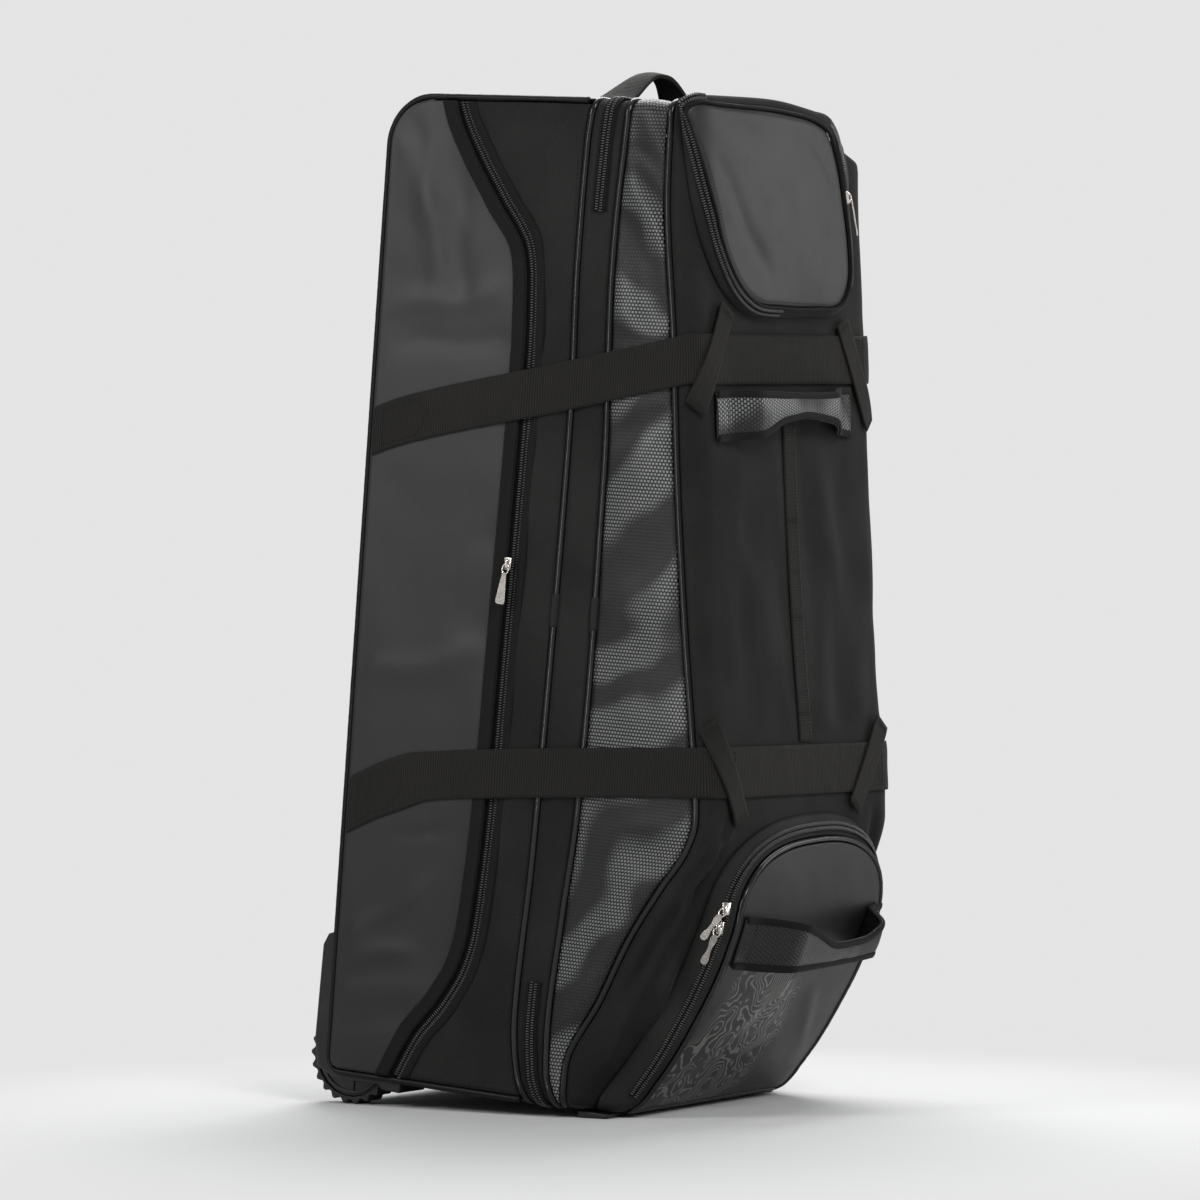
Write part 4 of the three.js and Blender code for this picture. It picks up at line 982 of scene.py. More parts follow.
# Rise as a share of the height, and reach as a share of the depth from the back.
FRONT = ((-0.016, 0.707), (0.059, 0.810), (0.121, 0.879), (0.164, 0.919), (0.218, 0.958), (0.298, 0.998),
         (0.364, 0.983), (0.467, 0.945), (0.624, 0.895), (0.762, 0.860), (0.920, 0.819), (1.000, 0.800))
REAR_LINE = ((-0.014, 0.560), (0.015, 0.530), (0.070, 0.513), (0.232, 0.531), (0.349, 0.539), (0.687, 0.552),
        (0.838, 0.543), (0.958, 0.548), (1.000, 0.560))
BAND_LINE = ((-0.014, 0.636), (0.020, 0.607), (0.064, 0.603), (0.176, 0.621), (0.288, 0.643), (0.459, 0.652),
        (0.619, 0.652), (0.839, 0.636), (1.000, 0.652))
CORNER_LINE = ((-0.014, 0.656), (0.026, 0.657), (0.101, 0.738), (0.164, 0.802), (0.218, 0.874), (0.261, 0.936),
        (0.288, 0.953), (0.311, 0.950), (0.364, 0.933), (0.467, 0.895), (0.624, 0.845), (0.762, 0.810),
        (0.920, 0.766), (1.000, 0.762))
FLAP_LINE = ((-0.010, 0.178), (0.039, 0.236), (0.079, 0.307), (0.117, 0.355), (0.154, 0.376), (0.287, 0.398),
        (0.430, 0.406), (0.740, 0.419), (0.815, 0.412), (0.845, 0.400), (0.896, 0.321), (0.934, 0.260),
        (0.975, 0.205), (1.000, 0.183))
POCKET_FACE = ((-0.019, 0.752), (-0.005, 0.810), (0.018, 0.850), (0.050, 0.898), (0.088, 0.944), (0.119, 0.978),
        (0.156, 1.010), (0.198, 1.033), (0.230, 1.036), (0.270, 1.030))
# Reach and rise of the two main straps.
UPPER_STRAP = ((0.000, 0.649), (0.083, 0.663), (0.219, 0.679), (0.462, 0.703), (0.750, 0.733), (0.860, 0.745))
LOWER_STRAP = ((0.000, 0.262), (0.120, 0.288), (0.233, 0.304), (0.424, 0.315), (0.690, 0.327), (0.990, 0.339))
# Across, rise and flare in metres of the upper pocket's rim.
UPPER_POCKET = ((-0.080, 0.807, 0.011), (-0.215, 0.808, 0.012), (-0.310, 0.826, 0.016), (-0.385, 0.861, 0.019),
        (-0.425, 0.900, 0.018), (-0.466, 0.945, 0.013), (-0.500, 0.976, 0.007), (-0.512, 0.990, 0.005),
        (-0.480, 0.998, 0.006), (-0.420, 0.999, 0.008),
        (-0.290, 1.001, 0.009), (-0.070, 1.004, 0.009), (0.130, 1.001, 0.012), (0.215, 0.990, 0.030),
        (0.262, 0.962, 0.043), (0.290, 0.923, 0.027), (0.310, 0.880, 0.020), (0.305, 0.842, 0.018),
        (0.250, 0.817, 0.015), (0.100, 0.810, 0.011))
# Across, low edge and high edge of the two grab handles.
UPPER_GRAB = ((-0.400, 0.664, 0.716), (-0.330, 0.667, 0.718), (-0.230, 0.673, 0.720), (-0.120, 0.688, 0.721),
        (0.020, 0.695, 0.723), (0.150, 0.692, 0.726), (0.250, 0.682, 0.731), (0.335, 0.679, 0.733))
LOWER_GRAB = ((-0.372, 0.142, 0.197), (-0.270, 0.139, 0.194), (-0.160, 0.140, 0.184), (-0.020, 0.142, 0.168),
        (0.130, 0.144, 0.171), (0.240, 0.146, 0.187), (0.310, 0.146, 0.196), (0.372, 0.147, 0.198))
# Upper end and lower end of each narrow cinch strap, across and rise.
CINCHES = {"cinch_upper_left": (-0.335, 0.800, -0.490, 0.696), "cinch_upper_right": (0.300, 0.800, 0.455, 0.694),
           "cinch_lower_left": (-0.500, 0.386, -0.372, 0.290), "cinch_lower_right": (0.425, 0.386, 0.250, 0.298)}


# Folds, each with its start and end, half width and height: on the flap (depth, rise as a share of the height),
# the front (run, rise) and the faces of the two pockets (across, rise).
FLAP_FOLDS = ((0.012, 0.955, 0.085, 0.86, 0.018, 0.0026), (0.030, 0.975, 0.060, 0.90, 0.014, -0.0018),
        (0.008, 0.12, 0.110, 0.20, 0.010, 0.0026), (0.010, 0.24, 0.120, 0.25, 0.007, -0.0018),
        (0.020, 0.78, 0.150, 0.80, 0.014, 0.0034), (0.030, 0.745, 0.160, 0.755, 0.012, -0.0026),
        (0.045, 0.97, 0.070, 0.80, 0.013, 0.0030), (0.085, 0.93, 0.100, 0.78, 0.015, -0.0026),
        (0.010, 0.40, 0.140, 0.43, 0.014, 0.0028), (0.015, 0.10, 0.090, 0.13, 0.010, 0.0026))
FRONT_FOLDS = ((-0.175, 0.21, -0.160, 0.075, 0.0077, 0.0099), (-0.150, 0.275, -0.175, 0.13, 0.0070, -0.0110),
        (-0.130, 0.300, -0.178, 0.205, 0.0063, 0.0088), (-0.120, 0.33, -0.05, 0.29, 0.0070, 0.0066),
        (-0.190, 0.250, -0.206, 0.13, 0.0070, 0.00572), (-0.172, 0.240, -0.197, 0.11, 0.0063, -0.00616),
        (-0.188, 0.170, -0.178, 0.03, 0.0070, 0.0066), (0.188, 0.240, 0.204, 0.12, 0.0070, 0.00572),
        (0.165, 0.225, 0.160, 0.08, 0.0084, 0.0088), (0.13, 0.30, 0.175, 0.19, 0.0070, -0.0077),
        (-0.13, 0.62, -0.07, 0.45, 0.0238, 0.00264), (0.05, 0.62, 0.12, 0.43, 0.0238, 0.00264))
UPPER_FOLDS = ((-0.15, 0.90, -0.06, 0.80, 0.010, -0.0022), (0.02, 0.945, 0.10, 0.90, 0.012, -0.0025))
BOOT_FOLDS = ((-0.13, 0.04, -0.04, 0.09, 0.012, 0.0035), (-0.10, 0.02, 0.02, 0.045, 0.010, -0.0030),
        (0.12, 0.03, 0.05, 0.10, 0.012, 0.0030))
# Sewn boxes at the ends of a band zip and of a main strap, across and along.
ZIP_BOX = ((-0.006, 0.004), (0.006, 0.004), (0.006, 0.012), (-0.006, 0.012), (-0.006, 0.004))
STRAP_BOX = ((-0.018, 0.012), (0.018, 0.012), (0.018, 0.052), (0.0, 0.068), (-0.018, 0.052), (-0.018, 0.012))
# Half outlines of the pulls, across and down from the slider: waisted on the pockets, flared on the flap.
POCKET_TAB = ((0.0026, -0.0105), (0.0034, -0.013), (0.0030, -0.017), (0.0019, -0.022), (0.0020, -0.027),
        (0.0033, -0.032), (0.0036, -0.0355), (0.0026, -0.0385), (0.0, -0.0395))
FLAP_TAB = ((0.0024, -0.0100), (0.0028, -0.014), (0.0037, -0.022), (0.0046, -0.030), (0.0051, -0.0355),
        (0.0050, -0.0380), (0.0040, -0.0393), (0.0, -0.0395))


@dataclass
class Form:
    """The bag's shape in metres: across, depth from the back, and rise from its foot."""

    width: float = 0.365
    height: float = 0.955
    depth: float = 0.420
    lean: float = math.radians(4.6)
    base_drop: float = 0.012
    edge_round: float = 0.014
    back_round: float = 0.050
    base_round: float = 0.016
    front_round: float = 0.030
    top_sag: float = 0.026
    gap: float = 0.0004
    piping: float = 0.0032
    sink: float = 0.0005
    flap_raise: float = 0.002
    binding: float = 0.015
    binding_thick: float = 0.0022
    zip_width: float = 0.014
    zip_thick: float = 0.0018
    webbing: float = 0.048
    webbing_thick: float = 0.0018
    bulge: float = 0.004
    strap_tilt: float = 0.05
    wheel_depth: float = 0.018
    wheel_rise: float = 0.0054

    def __post_init__(self) -> None:
        """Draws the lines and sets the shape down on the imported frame's axle."""
        high, deep = self.height, self.depth
        self.front = Through(FRONT, high, deep)
        self.rear_line = Through(REAR_LINE, high, deep)
        self.band_line = Through(BAND_LINE, high, deep)
        self.corner_line = Through(CORNER_LINE, high, deep)
        self.flap_line = Through(FLAP_LINE, high, deep)
        self.pocket_face = Through(POCKET_FACE, high, deep)
        self.upper_strap = Through(UPPER_STRAP, deep, high)
        self.lower_strap = Through(LOWER_STRAP, deep, high)
        self.seam = self.piping + 2 * self.gap
        self.low_rise = self.edge_round - self.base_drop
        self.high_rise = high - self.edge_round
        self.shift = Vector((0, 0, 0))
        axle = sum((Vector(corner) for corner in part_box("axle_left")), Vector()) / 2
        raw = self.stand(axle.x, self.wheel_depth, self.wheel_rise)
        self.shift = Vector((0, axle.y - raw.y, axle.z - raw.z))
        self.heart = self.stand(0, deep * 0.45, high * 0.5)

    def stand(self, x: float, depth: float, rise: float) -> Vector:
        """Where a place of the upright bag is as it stands, leaning forward and sagging at its top corner.

        Args:
            x: across, below 0 on the left.
            depth: from the back.
            rise: from the foot.

        Returns:
            The place in the frame.
        """
        sag = (eased(0.17 * self.width, 0.52 * self.width, x) * eased(0.5 * self.depth, 0.77 * self.depth, depth)
               * eased(0.84 * self.height, self.height, rise))
        level = rise - self.top_sag * sag
        back, up = math.cos(self.lean), math.sin(self.lean)
        return Vector((x, -depth * back - level * up, -depth * up + level * back)) + self.shift

    def local(self, spot: Vector) -> tuple[float, float, float]:
        """Across, depth and rise of a place on the bag as it stands.

        Args:
            spot: the place in the frame.

        Returns:
            The three numbers, without the sag.
        """
        at = spot - self.shift
        back, up = math.cos(self.lean), math.sin(self.lean)
        return at.x, -at.y * back - at.z * up, -at.y * up + at.z * back

    def half_width(self, rise: float) -> float:
        """Half the width at a rise, drawn in over the round top and base edges."""
        over = min(self.edge_round, max(0.0, rise - self.high_rise, self.low_rise - rise))
        return self.width / 2 - self.edge_round + math.sqrt(max(0.0, self.edge_round ** 2 - over ** 2))

    def front_start(self, rise: float) -> float:
        """Depth where the front panel starts on the side."""
        beyond = max(beside(self.corner_line, rise, self.seam), beside(self.band_line, rise, self.seam))
        return min(beyond, self.front(rise) - 0.006)

    def corner_turn(self, rise: float) -> float:
        """How deep the front panel's corner turns."""
        return min(self.front_round, self.front(rise) - self.front_start(rise) - 0.001)

    def on_front(self, run: float, rise: float, lift: float = 0.0) -> Vector:
        """A place on the front skin, at a run from the middle line and round the corner.

        Args:
            run: distance along the skin.
            rise: from the foot.
            lift: height off the skin.

        Returns:
            The place in the frame.
        """
        flat = self.width / 2 - self.front_round
        side, far, reach = math.copysign(1, run), abs(run), self.front(rise)
        if far <= flat:
            return self.stand(run, reach + lift, rise)
        deep = self.corner_turn(rise)
        turn = min(math.pi / 2, (far - flat) / self.front_round)
        normal = Vector((math.sin(turn) / self.front_round, math.cos(turn) / deep)).normalized()
        x = flat + self.front_round * math.sin(turn) + lift * normal.x + self.half_width(rise) - self.width / 2
        return self.stand(side * x, reach - deep + deep * math.cos(turn) + lift * normal.y, rise)

    def over_front(self, run: float, rise: float, lift: float) -> Vector:
        """A place over the front skin that may lie above the top edge.

        Args:
            run: distance along the skin.
            rise: from the foot.
            lift: height off the skin.

        Returns:
            The place in the frame.
        """
        brim = self.height - 0.011
        if rise <= brim:
            return self.on_front(run, rise, lift)
        return self.on_front(run, brim, lift) + self.upward * (rise - brim)

    @property
    def upward(self) -> Vector:
        """The direction up the leaning bag."""
        return Vector((0, -math.sin(self.lean), math.cos(self.lean)))

    def flat_side(self, side: int, depth: float, rise: float, lift: float = 0.0) -> Vector:
        """A place on a flat side."""
        return self.stand(side * (self.width / 2 + lift), depth, rise)

    def back_edge(self, rise: float) -> float:
        """Depth where the flap starts beside the piping.

        Args:
            rise: from the foot.

        Returns:
            The depth, greater round the two rear corners.
        """
        over = rise - (self.height - self.back_round)
        under = self.base_round - self.base_drop - rise
        if over > 0:
            return self.back_round - math.sqrt(max(0.0, (self.back_round - 0.002 - self.seam) ** 2 - over ** 2))
        if under > 0:
            return self.base_round - math.sqrt(max(0.0, (self.base_round - 0.002 - self.seam) ** 2 - under ** 2))
        return 0.002 + self.seam

    def off_flap(self, distance: float) -> Line:
        """A line beside the flap's free edge: its depth at a rise."""
        return lambda rise: beside(self.flap_line, rise, distance)

    def way(self, lift: float = 0.0, start: float | None = None) -> list[tuple[float, float, float]]:
        """Stations round the bag from the base's middle up the left side.

        Args:
            lift: distance off the skin.
            start: keeps only what lies above this level, open at the foot.

        Returns:
            Across, rise and level of each station.
        """
        flat, turn = self.width / 2 - self.edge_round, self.edge_round + lift
        bends = steps(0, math.pi / 2, 6)
        left = [(-x, -self.base_drop - lift, -self.base_drop) for x in steps(0, flat, 16)[:-1]]
        left += [(-flat - turn * math.sin(t), self.low_rise - turn * math.cos(t),
                  self.low_rise - self.edge_round * math.cos(t)) for t in bends]
        left += [(-flat - turn, rise, rise) for rise in steps(self.low_rise, self.high_rise, 100)[1:-1]]
        left += [(-flat - turn * math.cos(t), self.high_rise + turn * math.sin(t),
                  self.high_rise + self.edge_round * math.sin(t)) for t in bends]
        left += [(-x, self.height + lift, self.height) for x in steps(flat, 0, 16)[1:]]
        if start is None:
            return left + [(-x, rise, level) for x, rise, level in reversed(left[1:-1])]
        left = [spot for spot in left if spot[2] > start and (spot[0] < -0.4 * self.width or spot[1] > 0.5)]
        return left + [(-x, rise, level) for x, rise, level in reversed(left[:-1])]

    def strap_rise(self, line: Through, x: float, depth: float) -> float:
        """Rise of a main strap's middle."""
        tilt = self.strap_tilt * (x + self.width / 2) if line is self.upper_strap else 0.0
        return line(depth) + tilt

    def free(self, spot: Vector) -> float:
        """0 where a main strap presses the cloth, 1 away from the straps.

        Args:
            spot: a place on the cloth.

        Returns:
            The share of its folds that the cloth keeps.
        """
        x, depth, rise = self.local(spot)
        share = 1.0
        for line, half in ((self.upper_strap, 0.027), (self.lower_strap, 0.027 if depth > 0.1 else 0.038)):
            share *= eased(half, half + 0.03, abs(rise - self.strap_rise(line, x, depth)))
        return share

    def strap_lift(self, depth: float, rise: float) -> float:
        """Height of the skin under a main strap, over the bindings and pipings.

        Args:
            depth: from the back.
            rise: from the foot.

        Returns:
            The height off the side.
        """
        flap, band = self.flap_line(rise), self.band_line(rise)
        rear, corner = self.rear_line(rise), self.corner_line(rise)
        raised = self.flap_raise + self.binding_thick + self.gap
        marks = ((flap - self.binding - 0.008, self.flap_raise), (flap - self.binding - 0.001, raised),
                 (flap + 0.001, raised), (flap + self.zip_width + 0.006, 0.0), (rear - 0.012, 0.0),
                 (rear - 0.003, self.piping), (rear + 0.003, self.piping), (rear + 0.012, 0.0006),
                 (band - 0.012, 0.0006), (band - 0.003, self.piping), (band + 0.003, self.piping + 0.001),
                 (band + 0.014, self.bulge), (corner - 0.014, self.bulge), (corner - 0.003, self.piping + 0.0006),
                 (corner + 0.003, self.piping), (corner + 0.014, 0.0006))
        if depth <= marks[0][0]:
            return marks[0][1]
        for (from_depth, from_lift), (to_depth, to_lift) in zip(marks, marks[1:]):
            if depth <= to_depth:
                return from_lift + (to_lift - from_lift) * (depth - from_depth) / max(to_depth - from_depth, 1e-6)
        return marks[-1][1]


def soft(spot: Vector, size: float, amount: float, seed: float = 0.0) -> float:
    """Slow rise and fall of slack cloth, size metres from hill to hill."""
    return amount * noise.noise(spot / size + Vector((seed, -seed, seed * 0.6)))


def creases(x: float, y: float, folds: Sequence[tuple[float, ...]], high: float = 1.0) -> float:
    """Folds along short lines, each fading at its ends.

    Args:
        x: first place on the cloth.
        y: second place on the cloth.
        folds: start and end, half width, and height, below 0 for a hollow.
        high: the size that the folds' second places are a share of.

    Returns:
        The lift of them all at that place.
    """
    lift = 0.0
    for ax, ay, bx, by, width, amount in folds:
        ay, by = ay * high, by * high
        length = math.hypot(bx - ax, by - ay)
        along = ((x - ax) * (bx - ax) + (y - ay) * (by - ay)) / length
        off = ((x - ax) * (by - ay) - (y - ay) * (bx - ax)) / length
        off += 0.25 * width * math.sin(along * 60)
        ends = eased(-0.2 * length, 0.25 * length, along) * (1 - eased(0.75 * length, 1.2 * length, along))
        lift += amount * ends * math.exp(-((off / width) ** 2))
    return lift


# Sub-assemblies


@dataclass
class Part:
    """One sub-assembly: the shape that it follows and the maker of its pieces."""

    form: Form
    maker: Maker


@dataclass
class RearShell(Part):
    """Back, top and base panels, and the pipings round the two rear edges."""

    wheel_inset: float = 0.018
    wheel_width: float = 0.026
    wheel_radius: float = 0.048
    wheel_room: float = 0.004
    housing_wall: float = 0.004

    def __post_init__(self) -> None:
        """Sets the reach of the two openings for the wheels."""
        form, beyond = self.form, self.wheel_radius + self.wheel_room + self.housing_wall
        self.well_inner = (form.width / 2 - self.wheel_inset - self.wheel_width - self.wheel_room
                - self.housing_wall)
        self.well_top = form.wheel_rise + beyond
        self.well_front = form.wheel_depth + beyond

    def build(self) -> None:
        """Builds every panel."""
        form, maker = self.form, self.maker
        half = form.width / 2 - 0.002 - form.seam
        top = form.height - form.back_round

        def back(u: float, v: float) -> Vector:
            """The back, slightly slack."""
            x, rise = -half + 2 * half * u, -form.base_drop + 0.004 + (top + form.base_drop - 0.004) * v
            still = math.sin(math.pi * u) ** 0.5 * min(1.0, 8 * (1 - v), 8 * v)
            spot = form.stand(x, 0, rise)
            return form.stand(x, -still * (0.002 + soft(spot, 0.11, 0.003)), rise)

        bm = mapped(88, 230, back, (2 * half, top))
        self.cut_wells(bm, False)
        maker.finish(face_out(bm, form.heart), "back_cloth", Look.WOVEN, ["back_panel"], wall=0.002)

        rear = form.rear_line(form.height) - form.seam
        arc = form.back_round * math.pi / 2
        length = arc + rear - form.back_round

        def over(u: float, v: float) -> Vector:
            """The top, turned over the back edge."""
            x, run = -half + 2 * half * u, v * length
            puff = 0.0015 * math.sin(math.pi * u) * math.sin(math.pi * v)
            if run < arc:
                turn, reach = run / form.back_round, form.back_round + puff
                return form.stand(x, form.back_round - reach * math.cos(turn), top + form.gap + reach * math.sin(turn))
            depth = form.back_round + run - arc
            slack = soft(form.stand(x, depth, form.height), 0.09, 0.0012) * min(1, 6 * (1 - v))
            return form.stand(x, depth, form.height + puff + slack)

        bm = mapped(70, 60, over, (2 * half, length))
        maker.finish(face_out(bm, form.heart), "top_cloth", Look.WOVEN, ["top_panel"], wall=0.002)
        deep = form.rear_line(-form.base_drop) - form.seam - 0.001
        edge = 0.0024
        bm = mapped(88, 50, lambda u, v: form.stand(-half + 2 * half * u, edge + (deep - edge) * v, -form.base_drop),
                (2 * half, deep))
        self.cut_wells(bm, True)
        maker.finish(face_out(bm, form.heart), "base_cloth_rear", Look.COATED, ["base_panel_rear"], wall=0.002)
        wide = form.width / 2 - form.edge_round
        near = form.band_line(-form.base_drop) + form.seam
        far = form.front(-form.base_drop) - 0.008
        bm = mapped(60, 12, lambda u, v: form.stand(-wide + 2 * wide * u, near + (far - near) * v, -form.base_drop),
                (2 * wide, far - near))
        maker.finish(face_out(bm, form.heart), "base_cloth_front", Look.COATED, ["base_panel_front"], wall=0.002)
        for side, word in ((-1, "left"), (1, "right")):
            maker.tube(self.edge(side), form.piping, f"rear_edge_piping_{word}", Look.PIPING, [f"piping_side_{word}"],
                       form.heart, pucker=0.06, material=maker.extra["matte_piping"])

    def cut_wells(self, bm: Mesh, base: bool) -> None:
        """Opens a panel where the two wheel wells are.

        Args:
            bm: the panel.
            base: says that it is the base and not the back.
        """
        gone = []
        for face in bm.faces:
            x, depth, rise = self.form.local(face.calc_center_median())
            near = depth < self.well_front if base else rise < self.well_top
            if near and abs(x) > self.well_inner - self.form.gap:
                gone.append(face)
        bmesh.ops.delete(bm, geom=gone, context="FACES")

    def edge(self, side: int) -> list[Vector]:
        """Line of the piping from the top band over the back to the base band.

        Args:
            side: -1 left, 1 right.

        Returns:
            The points of its middle line.
        """
        form = self.form
        high, low, in_, back, base = form.height, -form.base_drop, 0.002, form.back_round, form.base_round
        points = [(depth, high - in_) for depth in steps(form.rear_line(high) - 2 * form.seam, back, 20)]
        points += [(back - (back - in_) * math.sin(t), high - back + (back - in_) * math.cos(t))
                   for t in steps(0, math.pi / 2, 16)[1:]]
        points += [(in_, rise) for rise in steps(high * 0.93, self.well_top + 0.012, 90)]
        points += [(base - (base - in_) * math.cos(t), base + low - (base - in_) * math.sin(t))
                   for t in steps(0, math.pi / 2, 8)]
        points += [(depth, low + in_) for depth in steps(0.034, form.rear_line(low) - 2 * form.seam, 14)]
        return [form.stand(side * (form.width / 2 - in_), depth, rise) for depth, rise in points]


@dataclass
class Sides(Part):
    """Each side: the coated flap, its bound edge and zip, and the cloth beside it."""

    def rises(self) -> list[float]:
        """Stations up a side, close together round the corners."""
        form = self.form
        low, high = -form.base_drop + 0.002 + form.seam, form.height - 0.002 - form.seam
        return steps(low, low + 0.03, 12) + steps(low + 0.03, high - 0.06, 150)[1:] + steps(high - 0.06, high, 20)[1:]

    def strip(self, side: int, near: Line, far: Line, lift: float = 0.0) -> Ribbon:
        """A strip up a side.

        Args:
            side: -1 left, 1 right.
            near: its rear edge, as a depth at a rise.
            far: its front edge.
            lift: its height off the side.

        Returns:
            The strip.
        """
        place = self.form.flat_side
        return Ribbon([(place(side, near(rise), rise, lift), place(side, far(rise), rise, lift))
                for rise in self.rises()], self.form.heart)

    def build(self) -> None:
        """Builds both sides."""
        for side, word in ((-1, "left"), (1, "right")):
            self.flap(side, word)
            self.zip(side, word)

    def flap(self, side: int, word: str) -> None:
        """The coated flap with its soft folds, and the tape that binds it.

        Args:
            side: -1 left, 1 right.
            word: the side's name.
        """
        form, maker = self.form, self.maker

        def relief(u: float, spot: Vector) -> float:
            """Folds of the flap, held flat at its edges and under the straps."""
            x, depth, rise = form.local(spot)
            edge = min(1.0, u / 0.12, (1 - u) / 0.16)
            slack = soft(spot, 0.16, 0.0034) + soft(spot, 0.055, 0.0012, 3.0)
            level = 0.0012 * math.sin(rise * 95 + 4 * noise.noise(spot * 9)) * eased(-0.1, 0.3, noise.noise(spot * 5))
            corner = creases(depth, rise, FLAP_FOLDS, form.height)
            return (slack + level + corner) * edge * form.free(spot)

        brink = form.off_flap(-0.001)
        strip = self.strip(side, form.back_edge, lambda rise: max(brink(rise), form.back_edge(rise) + 0.001),
                form.flap_raise)
        maker.ribbon(strip, f"side_flap_{word}", Look.COATED, [f"flap_{word}"], wall=0.002, columns=46, pitch=0.004,
                relief=relief)
        tape = self.strip(side, form.off_flap(-form.binding), form.off_flap(0),
                form.flap_raise + form.gap + form.binding_thick)

        def roll(u: float, spot: Vector) -> float:
            """The tape, rolled over the flap's edge."""
            edges = 0.0016 * max(0.0, (u - 0.86) / 0.14) ** 2 + 0.0012 * max(0.0, (0.1 - u) / 0.1) ** 2
            return 0.0004 * noise.noise(spot * 120) * form.free(spot) - edges

        maker.ribbon(tape, f"flap_edge_tape_{word}", Look.BINDING, [f"flap_binding_{word}"], wall=form.binding_thick,
                columns=12, pitch=0.0045, relief=roll)
        maker.stitches([tape.track(0.13, 0.0002), tape.track(0.80, 0.0002)], f"flap_tape_stitches_{word}")

    def zip(self, side: int, word: str) -> None:
        """The long zip beside the flap, and the cloth from there to the rear piping.

        Args:
            side: -1 left, 1 right.
            word: the side's name.
        """
        form, maker = self.form, self.maker
        tape = self.strip(side, form.off_flap(-0.005), form.off_flap(form.zip_width + 0.001), -0.0014)
        maker.zip(tape, (f"side_zip_tape_{word}", f"side_zip_coil_{word}"), [f"flap_zip_{word}"], 0.0, 0.0005, 0.60,
                  wall=0.0010, columns=8, pitch=0.006)
        welt = self.strip(side, form.off_flap(form.zip_width - 0.003), form.off_flap(form.zip_width + 0.006), 0.0016)
        maker.ribbon(welt, f"side_zip_welt_{word}", Look.BINDING, [], wall=0.0012, columns=8, pitch=0.005,
                relief=lambda u, spot: -0.0012 * (1 - form.free(spot)) - 0.0010 * abs(2 * u - 1) ** 3)
        maker.stitches([welt.track(0.72, 0.0001)], f"side_welt_stitches_{word}")

        def relief(u: float, spot: Vector) -> float:
            """The cloth, slack between its seams."""
            held = min(1.0, u / 0.18, (1 - u) / 0.18) * form.free(spot)
            return (soft(spot, 0.08, 0.0028, 5.0) + 0.0012 * math.sin(math.pi * u)) * held

        cloth = self.strip(side, form.off_flap(form.zip_width), lambda rise: beside(form.rear_line, rise, -form.seam))
        maker.ribbon(cloth, f"side_cloth_{word}", Look.WOVEN, [f"side_panel_{word}"], wall=0.002, columns=30,
                pitch=0.0045, relief=relief)
        maker.stitches([cloth.track(0.075, 0.0003), cloth.track(0.95, 0.0002)], f"side_cloth_stitches_{word}")


